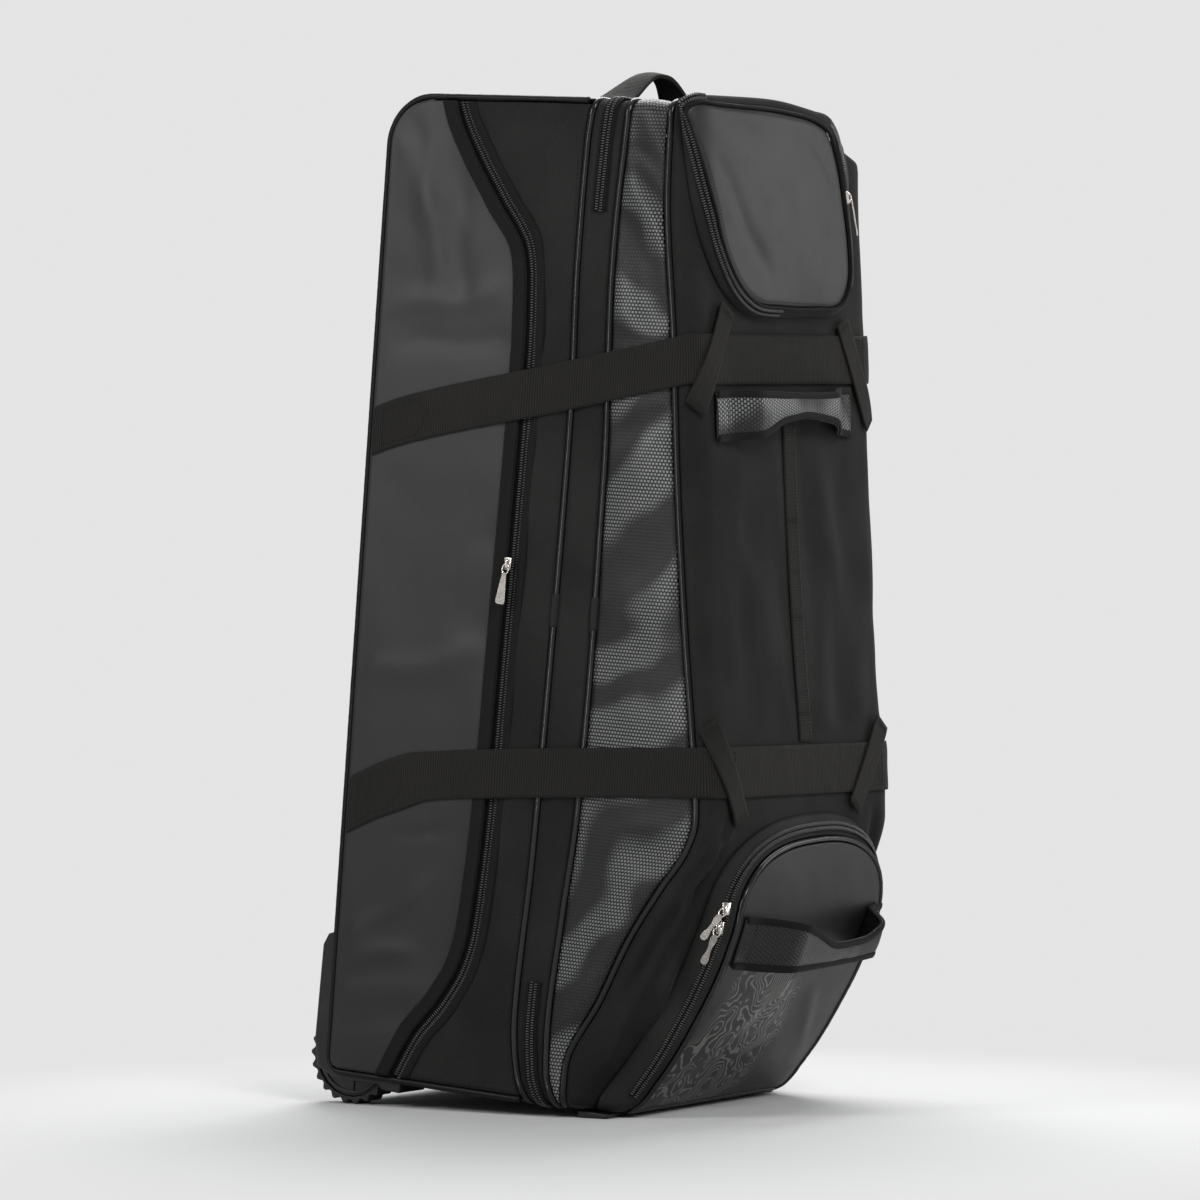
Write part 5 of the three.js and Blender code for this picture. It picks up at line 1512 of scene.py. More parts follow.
@dataclass
class GussetBand(Part):
    """The cloth band between two rows of piping, and the glossy textured panel beside it."""

    zip_width: float = 0.015
    join: tuple[float, float] = (0.447, 0.479)

    def build(self) -> None:
        """Builds the band, its pipings and zips, and the textured panel."""
        form, maker = self.form, self.maker
        way = form.way()
        band = Ribbon([(form.stand(x, beside(form.rear_line, level, form.seam), rise),
                  form.stand(x, beside(form.band_line, level, -form.seam), rise)) for x, rise, level in way],
                form.heart, True)

        def slack(u: float, spot: Vector) -> float:
            """The band, a little slack between its seams."""
            return (soft(spot, 0.06, 0.0016, 2.0) - 0.0004) * math.sin(math.pi * u) * form.free(spot)

        maker.ribbon(band, "band_cloth", Look.WOVEN, ["gusset_band"], wall=0.002, columns=14, relief=slack)
        maker.stitches([band.track(0.06, 0.0003), band.track(0.94, 0.0003)], "band_stitches")
        for line, name, node in ((form.rear_line, "rear_piping", "piping_rear"),
                (form.band_line, "front_piping", "piping_front")):
            points = [form.stand(x, line(level), rise) for x, rise, level in form.way(-form.sink)]
            maker.tube(points, form.piping, name, Look.PIPING, [node], form.heart, True, pucker=0.03)
        corner = [form.stand(x, form.corner_line(level), rise)
                  for x, rise, level in form.way(-form.sink, 0.001 - form.base_drop)]
        maker.tube(corner, form.piping, "corner_piping", Look.PIPING, ["piping_corner"], form.heart, pucker=0.03)
        for side, word in ((-1, "left"), (1, "right")):
            for line, name in ((form.rear_line, "rear"), (form.band_line, "front")):
                points = [form.flat_side(side, line(rise), rise, -form.sink) for rise in steps(*self.join, 12)]
                maker.tube(points, form.piping + 0.0007, f"{name}_piping_join_{word}", Look.BINDING, [], form.heart,
                           material=maker.extra["thread"])
        self.zips()
        self.textured()

    def zips(self) -> None:
        """Zips let into the band over the top and under the base."""
        form, maker = self.form, self.maker
        for word, keep in (("top", lambda level: level > 0.88 * form.height),
                ("base", lambda level: level < 0.115 * form.height)):
            way = form.way(form.zip_thick + form.gap)
            start = next(i for i, spot in enumerate(way) if keep(spot[2]) and not keep(way[i - 1][2]))
            kept = [spot for spot in way[start:] + way[:start] if keep(spot[2])]
            edges = []
            for x, rise, level in kept:
                middle = (form.rear_line(level) + form.band_line(level)) / 2
                edges.append((form.stand(x, middle - self.zip_width / 2, rise),
                        form.stand(x, middle + self.zip_width / 2, rise)))
            tape = Ribbon(edges, form.heart)
            maker.zip(tape, (f"band_zip_tape_{word}", f"band_zip_coil_{word}"), [f"band_zip_{word}"], 0.0005, 0.0001,
                      columns=8)
            maker.stitches([tape.track(0.1, 0.0), tape.track(0.9, 0.0)], f"band_zip_stitches_{word}")
            for start, way, end in ((0.0, 1, "a"), (tape.length, -1, "b")):
                box = [(x, start + way * y) for x, y in ZIP_BOX]
                maker.stitches([tape.drawn(box, 0.0004)], f"band_zip_box_{word}_{end}")

    def textured(self) -> None:
        """The textured panel up both sides and over the top, in diagonal waves."""
        form, maker = self.form, self.maker
        edges = []
        for x, rise, level in form.way(0.0, 0.002 - form.base_drop):
            low = beside(form.band_line, level, form.seam)
            edges.append((form.stand(x, low, rise),
                    form.stand(x, max(low + 0.0015, beside(form.corner_line, level, -form.seam)), rise)))
        strip = Ribbon(edges, form.heart)

        def relief(u: float, spot: Vector) -> float:
            """Plump between its seams, with diagonal waves that the straps press flat."""
            x, depth, rise = form.local(spot)
            wide = form.corner_line(rise) - form.band_line(rise)
            side = 1 - eased(form.high_rise - 0.03, form.high_rise, rise)
            plump = form.bulge * min(1.0, wide / 0.06) * math.sin(math.pi * u) ** 0.7 * side
            slant = 0.75 - 1.35 * (1 - eased(0.66, 0.74, rise))
            phase = (rise * 0.86 + depth * slant) * 2 * math.pi / 0.092
            strength = 0.6 + 0.8 * noise.noise(spot * 4.0 + Vector((7, 1, 3)))
            wave = math.sin(phase + 3.4 * noise.noise(spot * 7.0)) * strength
            ripple = soft(spot, 0.035, 0.0014, 9.0) + 0.0042 * wave * min(1.0, wide / 0.05)
            return plump + ripple * math.sin(math.pi * u) ** 0.6 * form.free(spot)

        maker.ribbon(strip, "textured_cloth", Look.EMBOSSED, ["textured_panel"], wall=0.002, columns=30, pitch=0.0032,
                relief=relief)
        maker.stitches([strip.track(0.03, 0.0005), strip.track(0.97, 0.0005)], "textured_stitches")


@dataclass
class FrontPanel(Part):
    """The cloth front, turned round both corners and over the brim."""

    def build(self) -> None:
        """Builds the panel with its folds."""
        form = self.form
        flat, quarter = form.width / 2 - form.front_round, form.front_round * math.pi / 2
        low, high = -form.base_drop + 0.0005, form.height - 0.007
        target = form.corner_line(form.height) + form.seam

        def relief(run: float, rise: float) -> float:
            """Folds of the front."""
            spot = Vector((run, 0.3, rise))
            lift = soft(Vector((run * 1.9, 0.0, rise * 0.55)), 0.075, 0.0036, 1.0) + soft(spot, 0.05, 0.0012, 4.0)
            lift += creases(run, rise, FRONT_FOLDS)
            pocket = 1.0 - (1 - eased(0.13, 0.16, abs(run))) * (1 - eased(0.27, 0.32, rise))
            upper = 1 - eased(0.74, 0.79, rise)
            strip = 0.25 + 0.75 * eased(0.012, 0.03, abs(run))
            return lift * pocket * upper * strip

        def place(u: float, v: float) -> Vector:
            """The front skin by its run and rise."""
            over = max(0.0, (v - 0.985) / 0.015)
            rise = low + (high - low) * min(1.0, v / 0.985)
            reach, deep = form.front(rise), form.corner_turn(rise)
            tail = reach - deep - form.front_start(rise)
            run = (2 * u - 1) * (flat + quarter + tail)
            side = math.copysign(1, run)
            far = abs(run)
            base = form.on_front(run, rise)
            edge = eased(0.0, 0.02, flat + quarter + tail - far) * eased(0.0, 0.03, rise - low) * form.free(base)
            lift = relief(run, rise) * edge
            if far > flat + quarter:
                return form.stand(side * (form.half_width(rise) + lift), reach - deep - (far - flat - quarter), rise)
            if over <= 0:
                return form.on_front(run, rise, lift)
            x, depth, level = form.local(base)
            turn = over * math.pi / 2
            inward = -max(0.0, depth - target) * (1 - math.cos(turn))
            return base + form.stand(0, inward, 0.0062 * math.sin(turn)) - form.stand(0, 0, 0)

        bm = mapped(110, 230, place, (2 * (flat + quarter), high - low))
        self.maker.finish(face_out(bm, form.heart), "front_cloth", Look.WOVEN, ["front_panel"], wall=0.002)
        seams = []
        for side in (-1, 1):
            edge = [(form.stand(side * form.half_width(rise), form.front_start(rise) + 0.002, rise),
                     form.stand(side * form.half_width(rise), form.front_start(rise) + 0.0025, rise))
                    for rise in steps(0.03, form.height - 0.02, 120)]
            seams.append(Ribbon(edge, form.heart).track(0.5, 0.0003))
        self.maker.stitches(seams, "front_seam_stitches")


class Rings:
    """Cross-sections round a pocket: foot, belly and rim at each station."""

    def __init__(self, rings: Sequence[tuple[Vector, Vector, Vector]], heart: Vector) -> None:
        """Keeps the rings and the point that they stand round."""
        self.rings = list(rings)
        self.heart = heart

    def at(self, u: float, v: float) -> Vector:
        """A place on the flank: u from foot to rim, v round the pocket.

        Args:
            u: share from foot to rim.
            v: share round the pocket.

        Returns:
            The place.
        """
        count = len(self.rings)
        i = min(int(v * count), count - 1)
        foot, belly, rim = (a.lerp(b, v * count - i) for a, b in zip(self.rings[i], self.rings[(i + 1) % count]))
        return foot * ((1 - u) * (1 - 2 * u)) + belly * (4 * u * (1 - u)) + rim * (u * (2 * u - 1))

    def tape(self, first: int, last: int, low: float, high: float, lift: float) -> Ribbon:
        """A strip on the flank between two shares of belly to rim, lifted off it.

        Args:
            first: the station where it starts.
            last: the station before which it ends.
            low: share of its outer edge.
            high: share of its inner edge.
            lift: height off the flank.

        Returns:
            The strip.
        """
        edges = []
        for foot, belly, rim in self.rings[first:last]:
            out = (rim - foot).normalized()
            pair = []
            for share in (low, high):
                spot = belly.lerp(rim, share)
                away = spot - self.heart
                pair.append(spot + (away - out * away.dot(out)).normalized() * lift)
            edges.append((pair[0], pair[1]))
        return Ribbon(edges, self.heart)


@dataclass
class UpperPocket(Part):
    """The small pocket near the top: a flank with a zip, and a domed face."""

    stations: int = 204
    rim: float = 0.014

    def outline(self) -> list[Vector]:
        """Even points on a closed curve through the rim's rows: run, rise and flare."""
        form = self.form
        knots = [Vector((a * form.width, b * form.height, c)) for a, b, c in UPPER_POCKET]
        fine = []
        count = len(knots)
        for i in range(count):
            p0, p1, p2, p3 = (knots[(i + k - 1) % count] for k in range(4))
            t0, t1, t2 = (max((b - a).length, 1e-6) ** 0.5 for a, b in ((p0, p1), (p1, p2), (p2, p3)))
            m1 = ((p1 - p0) / t0 - (p2 - p0) / (t0 + t1) + (p2 - p1) / t1) * t1
            m2 = ((p2 - p1) / t1 - (p3 - p1) / (t1 + t2) + (p3 - p2) / t2) * t1
            for k in range(24):
                t = k / 24
                fine.append(p1 * (2 * t ** 3 - 3 * t ** 2 + 1) + m1 * (t ** 3 - 2 * t ** 2 + t)
                        + p2 * (3 * t ** 2 - 2 * t ** 3) + m2 * (t ** 3 - t ** 2))
        loop = Ribbon([(spot, spot) for spot in fine], Vector(), True)
        return [loop.pair(i / self.stations)[0] for i in range(self.stations)]

    def build(self) -> None:
        """Builds the flank, face, zip and border."""
        form, maker = self.form, self.maker
        spots = self.outline()
        centre = Vector((-0.075 * form.width, 0.905 * form.height))

        def pulled(spot: Vector, distance: float) -> Vector:
            """Moves a rim point away from the pocket's middle."""
            flat = spot.xy
            return flat + (flat - centre).normalized() * distance

        rings = []
        brim = form.height - 0.003
        for spot in spots:
            foot_at = pulled(spot, spot.z)
            if foot_at.y <= brim:
                lift = 0.001 + 0.002 * eased(form.height - 0.05, form.height - 0.03, foot_at.y)
                foot = form.over_front(foot_at.x, foot_at.y, form.gap + lift)
            else:
                foot = form.over_front(foot_at.x, brim, form.gap + 0.003)
                foot += form.stand(0, -0.006, form.gap + 0.004) - form.stand(0, 0, 0)
            belly_at, rim_at = pulled(spot, spot.z * 0.75), pulled(spot, 0.0024)
            high = 0.005 * eased(form.height * 0.965, form.height * 0.985, spot.y)
            rings.append((foot, form.over_front(belly_at.x, belly_at.y + high, self.rim * 0.55),
                    form.over_front(rim_at.x, rim_at.y, self.rim - 0.0012)))
        heart = form.over_front(centre.x, centre.y, -0.006)
        flank = Rings(rings, heart)
        bm = mapped(12, self.stations, flank.at, (0.025, 0.75), True)
        maker.finish(face_out(bm, heart), "upper_pocket_flank", Look.WOVEN, ["upper_pocket_gusset"], wall=0.0016)
        loop = Ribbon([(spot, spot) for spot in spots], Vector(), True)

        def face(u: float, v: float) -> Vector:
            """The face, domed, with soft dents."""
            edge = pulled(loop.pair(v)[0], form.gap)
            at = centre.lerp(edge, u)
            spot = Vector((at.x, 0.2, at.y))
            dent = soft(spot, 0.07, 0.0030, 6.0) + creases(at.x, at.y, UPPER_FOLDS)
            roll = -0.0020 * max(0.0, (u - 0.93) / 0.07) ** 2
            return form.over_front(at.x, at.y, self.rim + 0.005 * (1 - u * u) + dent * (1 - u ** 4) + roll)

        bm = mapped(40, self.stations, face, (0.15, 0.75), True, lambda u, v: (u * 0.15, v * 0.75))
        maker.finish(face_out(bm, heart), "upper_pocket_cloth", Look.COATED, ["upper_pocket_face"], wall=0.0018,
                material=maker.extra["upper_face"])
        edge = [form.over_front(*pulled(spot, 0.0016), self.rim + 0.0004) for spot in spots]
        maker.tube(edge, 0.0017, "upper_pocket_border", Look.BINDING, [], heart, True, sides=10, pitch=0.004)
        inset = Ribbon([(form.over_front(*pulled(spot, -0.0040), self.rim + 0.0016),
                form.over_front(*pulled(spot, -0.0045), self.rim + 0.0016)) for spot in spots], heart, True)
        maker.stitches([inset.track(0.5, 0.0002)], "upper_pocket_stitches")
        part = self.stations * 12 // 34
        tape = flank.tape(0, part, 0.25, 0.85, form.zip_thick + 2.5 * form.gap)
        maker.zip(tape, ("upper_zip_tape", "upper_zip_coil"), ["upper_pocket_zip"])
        right = [i for i, spot in enumerate(spots) if spot.x > 0.20 * form.width and spot.y > 0.835 * form.height]
        tape = flank.tape(right[0], right[-1], 0.15, 0.75, form.zip_thick)
        maker.zip(tape, ("upper_zip_tape_right", "upper_zip_coil_right"))


@dataclass
class BootPocket(Part):
    """The large arched pocket at the foot of the front."""

    half: float = 0.143
    foot_half: float = 0.151
    tilt: float = 0.04
    piping: float = 0.0026
    arch_power: float = 2 / 2.5

    def outline(self, half: float, flare: float, shoulder: float, top: float) -> list[tuple[float, float]]:
        """Outline from base left, over the arch, to base right, as across and rise.

        Args:
            half: half its width.
            flare: how far its foot widens.
            shoulder: rise where the arch starts.
            top: rise of the arch.

        Returns:
            The points.
        """
        low = -0.012 * self.form.height
        left = []
        for rise in steps(low, shoulder, 40)[:-1]:
            left.append((-(half + flare * max(0.0, 1 - (rise - low) / (shoulder - low)) ** 2), rise))
        arch = []
        for turn in steps(0, math.pi, 120):
            c, s = math.cos(turn), math.sin(turn)
            arch.append((-half * math.copysign(abs(c) ** self.arch_power, c),
                    shoulder + (top - shoulder) * abs(s) ** self.arch_power))
        right = [(-x, rise) for x, rise in reversed(left)]
        return [(x, rise + self.tilt * x * rise / top) for x, rise in left + arch + right]

    def point(self, x: float, rise: float, share: float, drop: float) -> Vector:
        """A place on the domed face."""
        return self.form.stand(x, self.form.pocket_face(rise) + 0.005 * (1 - share * share) + drop, rise)

    def pipe(self, x: float, rise: float) -> Vector:
        """A place on the piping's line."""
        return self.form.stand(x, self.form.pocket_face(rise) - 0.0012, rise)

    def build(self) -> None:
        """Builds the flank, face, piping and zip."""
        form, maker = self.form, self.maker
        high = form.height
        rim = self.outline(self.half, 0.0, 0.19 * high, 0.268 * high)
        foot = self.outline(self.foot_half, 0.016, 0.205 * high, 0.293 * high)
        heart = form.stand(0, form.front(0.12 * high), 0.12 * high)
        seam = self.piping + 3 * form.gap

        def ring(base: Vector, pipe: Vector, push: float) -> tuple[Vector, Vector, Vector]:
            """Foot, belly and rim of the flank at one station."""
            edge = pipe + (base - pipe).normalized() * seam
            belly = base.lerp(edge, 0.55)
            away = belly - heart
            away.y = 0
            return base, belly + away.normalized() * push, edge

        rings = []
        for (x, rise), (fx, frise) in zip(rim, foot):
            lift = form.gap + 0.0014 + 0.0022 * (1 - eased(-0.004, 0.004, rise))
            rings.append(ring(form.on_front(fx, frise, lift), self.pipe(x, rise), 0.003))
        under = steps(-self.half, self.half, 50)[1:-1][::-1]
        foot_rise = rim[0][1]
        for x in under:
            rings.append(ring(form.on_front(x, foot_rise, form.gap + 0.0014), self.pipe(x, foot_rise), 0.0))
        flank = Rings(rings, heart)
        bm = mapped(12, len(rings), flank.at, (0.06, 0.95), True)
        # The flank takes the lighter copy of the woven cloth, painted light for a flank that sits in shade.
        maker.finish(face_out(bm, heart), "boot_pocket_flank", Look.WOVEN, ["boot_pocket_gusset"], wall=0.0016,
                material=maker.extra["pocket_flank"])
        loop = [Vector((x, rise, 0)) for x, rise in rim] + [Vector((x, foot_rise, 0)) for x in under]
        centre = Vector((0, 0.12 * high, 0))
        line = Ribbon([(spot, spot) for spot in loop], Vector(), True)

        def face(u: float, v: float) -> Vector:
            """The face, domed, drawn in at its lower corners and dented by the handle's ends."""
            edge = line.pair(v)[0]
            inward = (centre - edge).normalized() * 0.004
            near, far = self.pipe(edge.x, edge.y), self.pipe(edge.x + inward.x, edge.y + inward.y)
            edge = edge + inward * (seam / max((near - far).length, 1e-6))
            at = centre.lerp(edge, u)
            spot = Vector((at.x, 0.4, at.y))
            dent = soft(spot, 0.10, 0.0040, 8.0) + soft(spot, 0.035, 0.0008, 2.0)
            dent += creases(at.x, at.y, BOOT_FOLDS)
            dent *= eased(0.0, 0.03, abs(at.y - 0.165 * high) - 0.02) * 0.8 + 0.2
            return self.point(at.x, at.y, u, dent * (1 - u ** 4))

        def chart(u: float, v: float) -> tuple[float, float]:
            """Across and rise of a place on the face."""
            at = centre.lerp(line.pair(v)[0], u)
            return at.x + 0.5, at.y + 0.5

        bm = mapped(60, len(loop), face, looped=True, chart=chart)
        maker.finish(face_out(bm, heart), "boot_pocket_cloth", Look.COATED, ["boot_pocket_face"], wall=0.0018,
                material=maker.extra["pocket_face"])
        maker.tube([self.pipe(x, rise) for x, rise, _ in loop], self.piping, "boot_pocket_edge", Look.PIPING,
                   ["boot_pocket_piping"], heart, True, pucker=0.12)
        tape = flank.tape(4, len(rim) - 4, 0.1, 0.6, form.zip_thick + 2.5 * form.gap)
        maker.zip(tape, ("boot_zip_tape", "boot_zip_coil"), ["boot_pocket_zip"])
        rows = []
        for share in (0.08, 0.90):
            edges = [(flank.at(share, i / 200), flank.at(share + 0.01, i / 200)) for i in range(160)]
            rows.append(Ribbon(edges, heart).track(0.5, 0.0003))
        maker.stitches(rows, "boot_pocket_stitches")


@dataclass
class Straps(Part):
    """The two main straps, the strip between them and the four cinches."""

    narrow: float = 0.024
    wide_end: float = 0.056

    def strap(self, line: Through, wide_end: float) -> Ribbon:
        """Line of a main strap from one back edge round the front to the other.

        Args:
            line: its rise at a depth.
            wide_end: its width at its sewn ends.

        Returns:
            The strap.
        """
        form = self.form
        half = form.webbing / 2
        under = form.gap + form.webbing_thick
        tilt = form.strap_tilt if line is form.upper_strap else 0.0
        last = line.at[-1]
        seam = form.corner_line(line(last))
        flat = form.width / 2 - form.front_round
        edges = []
        for depth in steps(0.008, seam + 0.004, 90):
            rise = line(depth)
            lift = sum(form.strap_lift(depth + k * 0.0025, rise) for k in (-2, -1, 0, 1, 2)) / 5
            reach = half + (wide_end - form.webbing) / 2 * (1 - eased(0.15 * form.depth, 0.26 * form.depth, depth))
            edges.append(tuple(form.flat_side(-1, depth, rise + k * reach, lift + under) for k in (-1, 1)))
        runs = [-run for run in steps(flat + form.front_round * 1.1, flat, 9)] + steps(-flat, 0, 24)[1:]
        for run in runs:
            edges.append(tuple(form.on_front(run, line(last) + k * half, 0.0014 + under) for k in (-1, 1)))
        mirrored = [tuple(Vector((-spot.x, spot.y, spot.z)) for spot in pair) for pair in reversed(edges[:-1])]
        whole = [tuple(spot + Vector((0, 0, tilt * (spot.x + form.width / 2))) for spot in pair)
                 for pair in edges + mirrored]
        return Ribbon(whole, form.heart)

    def build(self) -> None:
        """Builds every strap with its sewn ends."""
        form, maker = self.form, self.maker
        sewn = []
        for name, line, wide in (("upper_strap", form.upper_strap, form.webbing),
                ("lower_strap", form.lower_strap, self.wide_end)):
            strip = self.strap(line, wide)
            maker.ribbon(strip, f"{name}_webbing", Look.WEBBING, [name], form.webbing_thick, 14, 0.0035,
                    relief=lambda u, spot: 0.0004 * noise.noise(spot * 60) - 0.0005 * abs(2 * u - 1) ** 6)
            for start, way in ((0.0, 1), (strip.length, -1)):
                sewn.append(strip.drawn([(x, start + way * y) for x, y in STRAP_BOX], 0.0003))
            quarter = strip.length / 2 - 0.150
            for middle in (quarter, strip.length - quarter):
                for shift in (-0.004, 0.004):
                    sewn.append(strip.drawn([(-0.021, middle + shift), (0.021, middle + shift)], 0.0003))
        high = 0.0014 + 2 * (form.gap + form.webbing_thick) + form.gap
        for name, (from_x, from_rise, to_x, to_rise) in CINCHES.items():
            start = Vector((from_x * form.width, from_rise * form.height))
            end = Vector((to_x * form.width, to_rise * form.height))
            across = (end - start).normalized().orthogonal() * (self.narrow / 2)
            edges = []
            for share in steps(0, 1, 40):
                at = start.lerp(end, share)
                edges.append(tuple(form.on_front(at.x + k * across.x, at.y + k * across.y, high) for k in (-1, 1)))
            strip = Ribbon(edges, form.heart)
            maker.ribbon(strip, f"{name}_webbing", Look.WEBBING, [name], form.webbing_thick, 12, 0.003,
                    relief=lambda u, spot: 0.0008 * noise.noise(spot * 30), material=maker.extra["herringbone"])
            for y in (0.005, strip.length - 0.005):
                sewn.append(strip.drawn([(-0.010, y), (0.010, y)], 0.0006, 0.0024))
                sewn.append(strip.drawn([(-0.010, y + 0.003), (0.010, y + 0.003)], 0.0006, 0.0024))
        low = LOWER_STRAP[-1][1] * form.height + form.webbing / 2 + 0.003
        top = UPPER_STRAP[-1][1] * form.height - form.webbing / 2 - 0.003
        half = self.narrow / 2
        strip = Ribbon([tuple(form.on_front(k * half, rise, form.gap + 0.0012) for k in (-1, 1))
                for rise in steps(low, top, 60)], form.heart)
        maker.ribbon(strip, "front_strip", Look.WEBBING, ["webbing_strip"], wall=0.0012, columns=8, pitch=0.004,
                material=maker.extra["strip"])
        sewn += [strip.track(0.10, 0.0003), strip.track(0.90, 0.0003)]
        for share in (0.08, 0.36, 0.64, 0.92):
            for shift in (-0.0016, 0.0, 0.0016):
                y = share * strip.length + shift
                sewn.append(strip.drawn([(-half, y), (half, y)], 0.0004, 0.0020))
        maker.stitches(sewn, "strap_stitches")


@dataclass
class Handles(Part):
    """The carrying handle on top and the two padded grab handles in front."""

    span: float = 0.186
    width: float = 0.046
    rise: float = 0.037
    depth: float = 0.184
    grab_thick: float = 0.006
    bound: float = 0.0075

    def build(self) -> None:
        """Builds the three handles."""
        form, maker = self.form, self.maker
        edges = []
        for share in steps(-1, 1, 80):
            climb = eased(0.0, 1.0, min(1.0, max(0.0, (0.93 - abs(share)) / 0.86)))
            rise = form.height + form.gap + 0.003 + self.rise * climb * (1 - 0.10 * share * share)
            waist = self.width * (0.5 - 0.24 * climb)
            depth = self.depth + 0.008 * climb
            edges.append(tuple(form.stand(share * self.span / 2, depth + k * waist, rise) for k in (-1, 1)))
        strip = Ribbon(edges, form.stand(0, self.depth, form.height - 0.06))
        maker.ribbon(strip, "carry_handle", Look.WEBBING, ["top_handle"], wall=0.0045, columns=14, pitch=0.003,
                bevel=0.0008, relief=lambda u, spot: 0.0020 * (1 - (2 * u - 1) ** 2))
        sewn = [strip.track(0.09, 0.0005), strip.track(0.91, 0.0005)]
        for y in (0.003, 0.010, strip.length - 0.010, strip.length - 0.003):
            sewn.append(strip.drawn([(-0.019, y), (0.019, y)], 0.0010))
        maker.stitches(sewn, "carry_handle_stitches")
        self.grab("upper_grab", "grab_handle_upper", UPPER_GRAB, 0.017, form.on_front)
        self.grab("lower_grab", "grab_handle_lower", LOWER_GRAB, 0.033,
                  lambda run, rise, out: form.stand(run, form.pocket_face(rise) + out
                                                    + 0.005 * (1 - min(1.0, abs(run) / 0.143) ** 2), rise))

    def grab(self, name: str, node: str, table: Sequence[Sequence[float]], bow: float, place: Callable) -> None:
        """A padded handle, flat at its sewn ends and bowed between them.

        Args:
            name: what its pieces are called.
            node: the solid that it stands for.
            table: across, low edge and high edge.
            bow: how far it stands off in the middle.
            place: where a run, a rise and a lift are.
        """
        form, maker = self.form, self.maker
        low = Through(table, form.width, form.height, 1)
        high = Through(table, form.width, form.height, 2)
        edges = []
        for run in steps(table[0][0] * form.width, table[-1][0] * form.width, 90):
            share = (run - low.at[0]) / (low.at[-1] - low.at[0])
            tab = eased(0.0, 1.0, min(1.0, max(0.0, (0.86 - abs(2 * share - 1)) / 0.3)))
            out = form.gap + self.grab_thick + bow * tab
            edges.append((place(run, low(run), out), place(run, high(run), out)))
        heart = place(0.0, (low(0.0) + high(0.0)) / 2, -0.08)
        strip = Ribbon(edges, heart)
        half = self.grab_thick / 2

        def pad(u: float, v: float) -> Vector:
            """Goes round the padded section, full in the middle and thin at both bound edges."""
            turn = 2 * math.pi * u
            c, s = math.cos(turn), math.sin(turn)
            across = 0.5 + 0.485 * math.copysign(abs(c) ** 0.75, c)
            spot, ahead, normal = strip.frame(across, v)
            full = half * (0.45 + 0.75 * math.sin(math.pi * across) ** 0.6)
            ends = 0.55 + 0.45 * eased(0.0, 0.08, min(v, 1 - v))
            wave = 1 + 0.18 * noise.noise(spot * 45)
            return spot + normal * (-half + full * ends * wave * math.copysign(abs(s) ** 0.8, s))

        def chart(u: float, v: float) -> tuple[float, float]:
            """The pad's own map, in metres, the same on its face and its back."""
            c = math.cos(2 * math.pi * u)
            return 0.485 * math.copysign(abs(c) ** 0.75, c) * strip.width + strip.width, v * strip.length

        bm = mapped(36, 150, pad, looped=True, chart=chart)
        bmesh.ops.holes_fill(bm, edges=[edge for edge in bm.edges if edge.is_boundary], sides=0)
        bmesh.ops.recalc_face_normals(bm, faces=bm.faces)
        piece = maker.finish(bm, f"{name}_pad", Look.EMBOSSED, [node], material=maker.extra.get(name))
        for near, word in ((0.0, "low"), (1.0, "high")):
            bound = []
            for v in steps(0.0, 1.0, 120):
                pair = strip.pair(v)
                way = (pair[1] - pair[0]).normalized() * (1 - 2 * near)
                edge = pair[int(near)]
                bound.append((edge, edge + way * self.bound))
            tape = Ribbon(bound, heart)
            maker.ribbon(tape, f"{name}_bound_{word}", Look.BINDING, [], wall=self.grab_thick * 0.9, columns=8,
                    pitch=0.004, bevel=0.0008,
                    relief=lambda u, spot: 0.0006 * (math.sin(math.pi * u) - (1 - u) ** 2))
        rows = []
        for y in (0.006, 0.018, strip.length - 0.018, strip.length - 0.006):
            rows.append(strip.drawn([(-strip.width * 0.4, y), (strip.width * 0.4, y)], 0.0006))
        maker.stitches(rows, f"{name}_stitches")


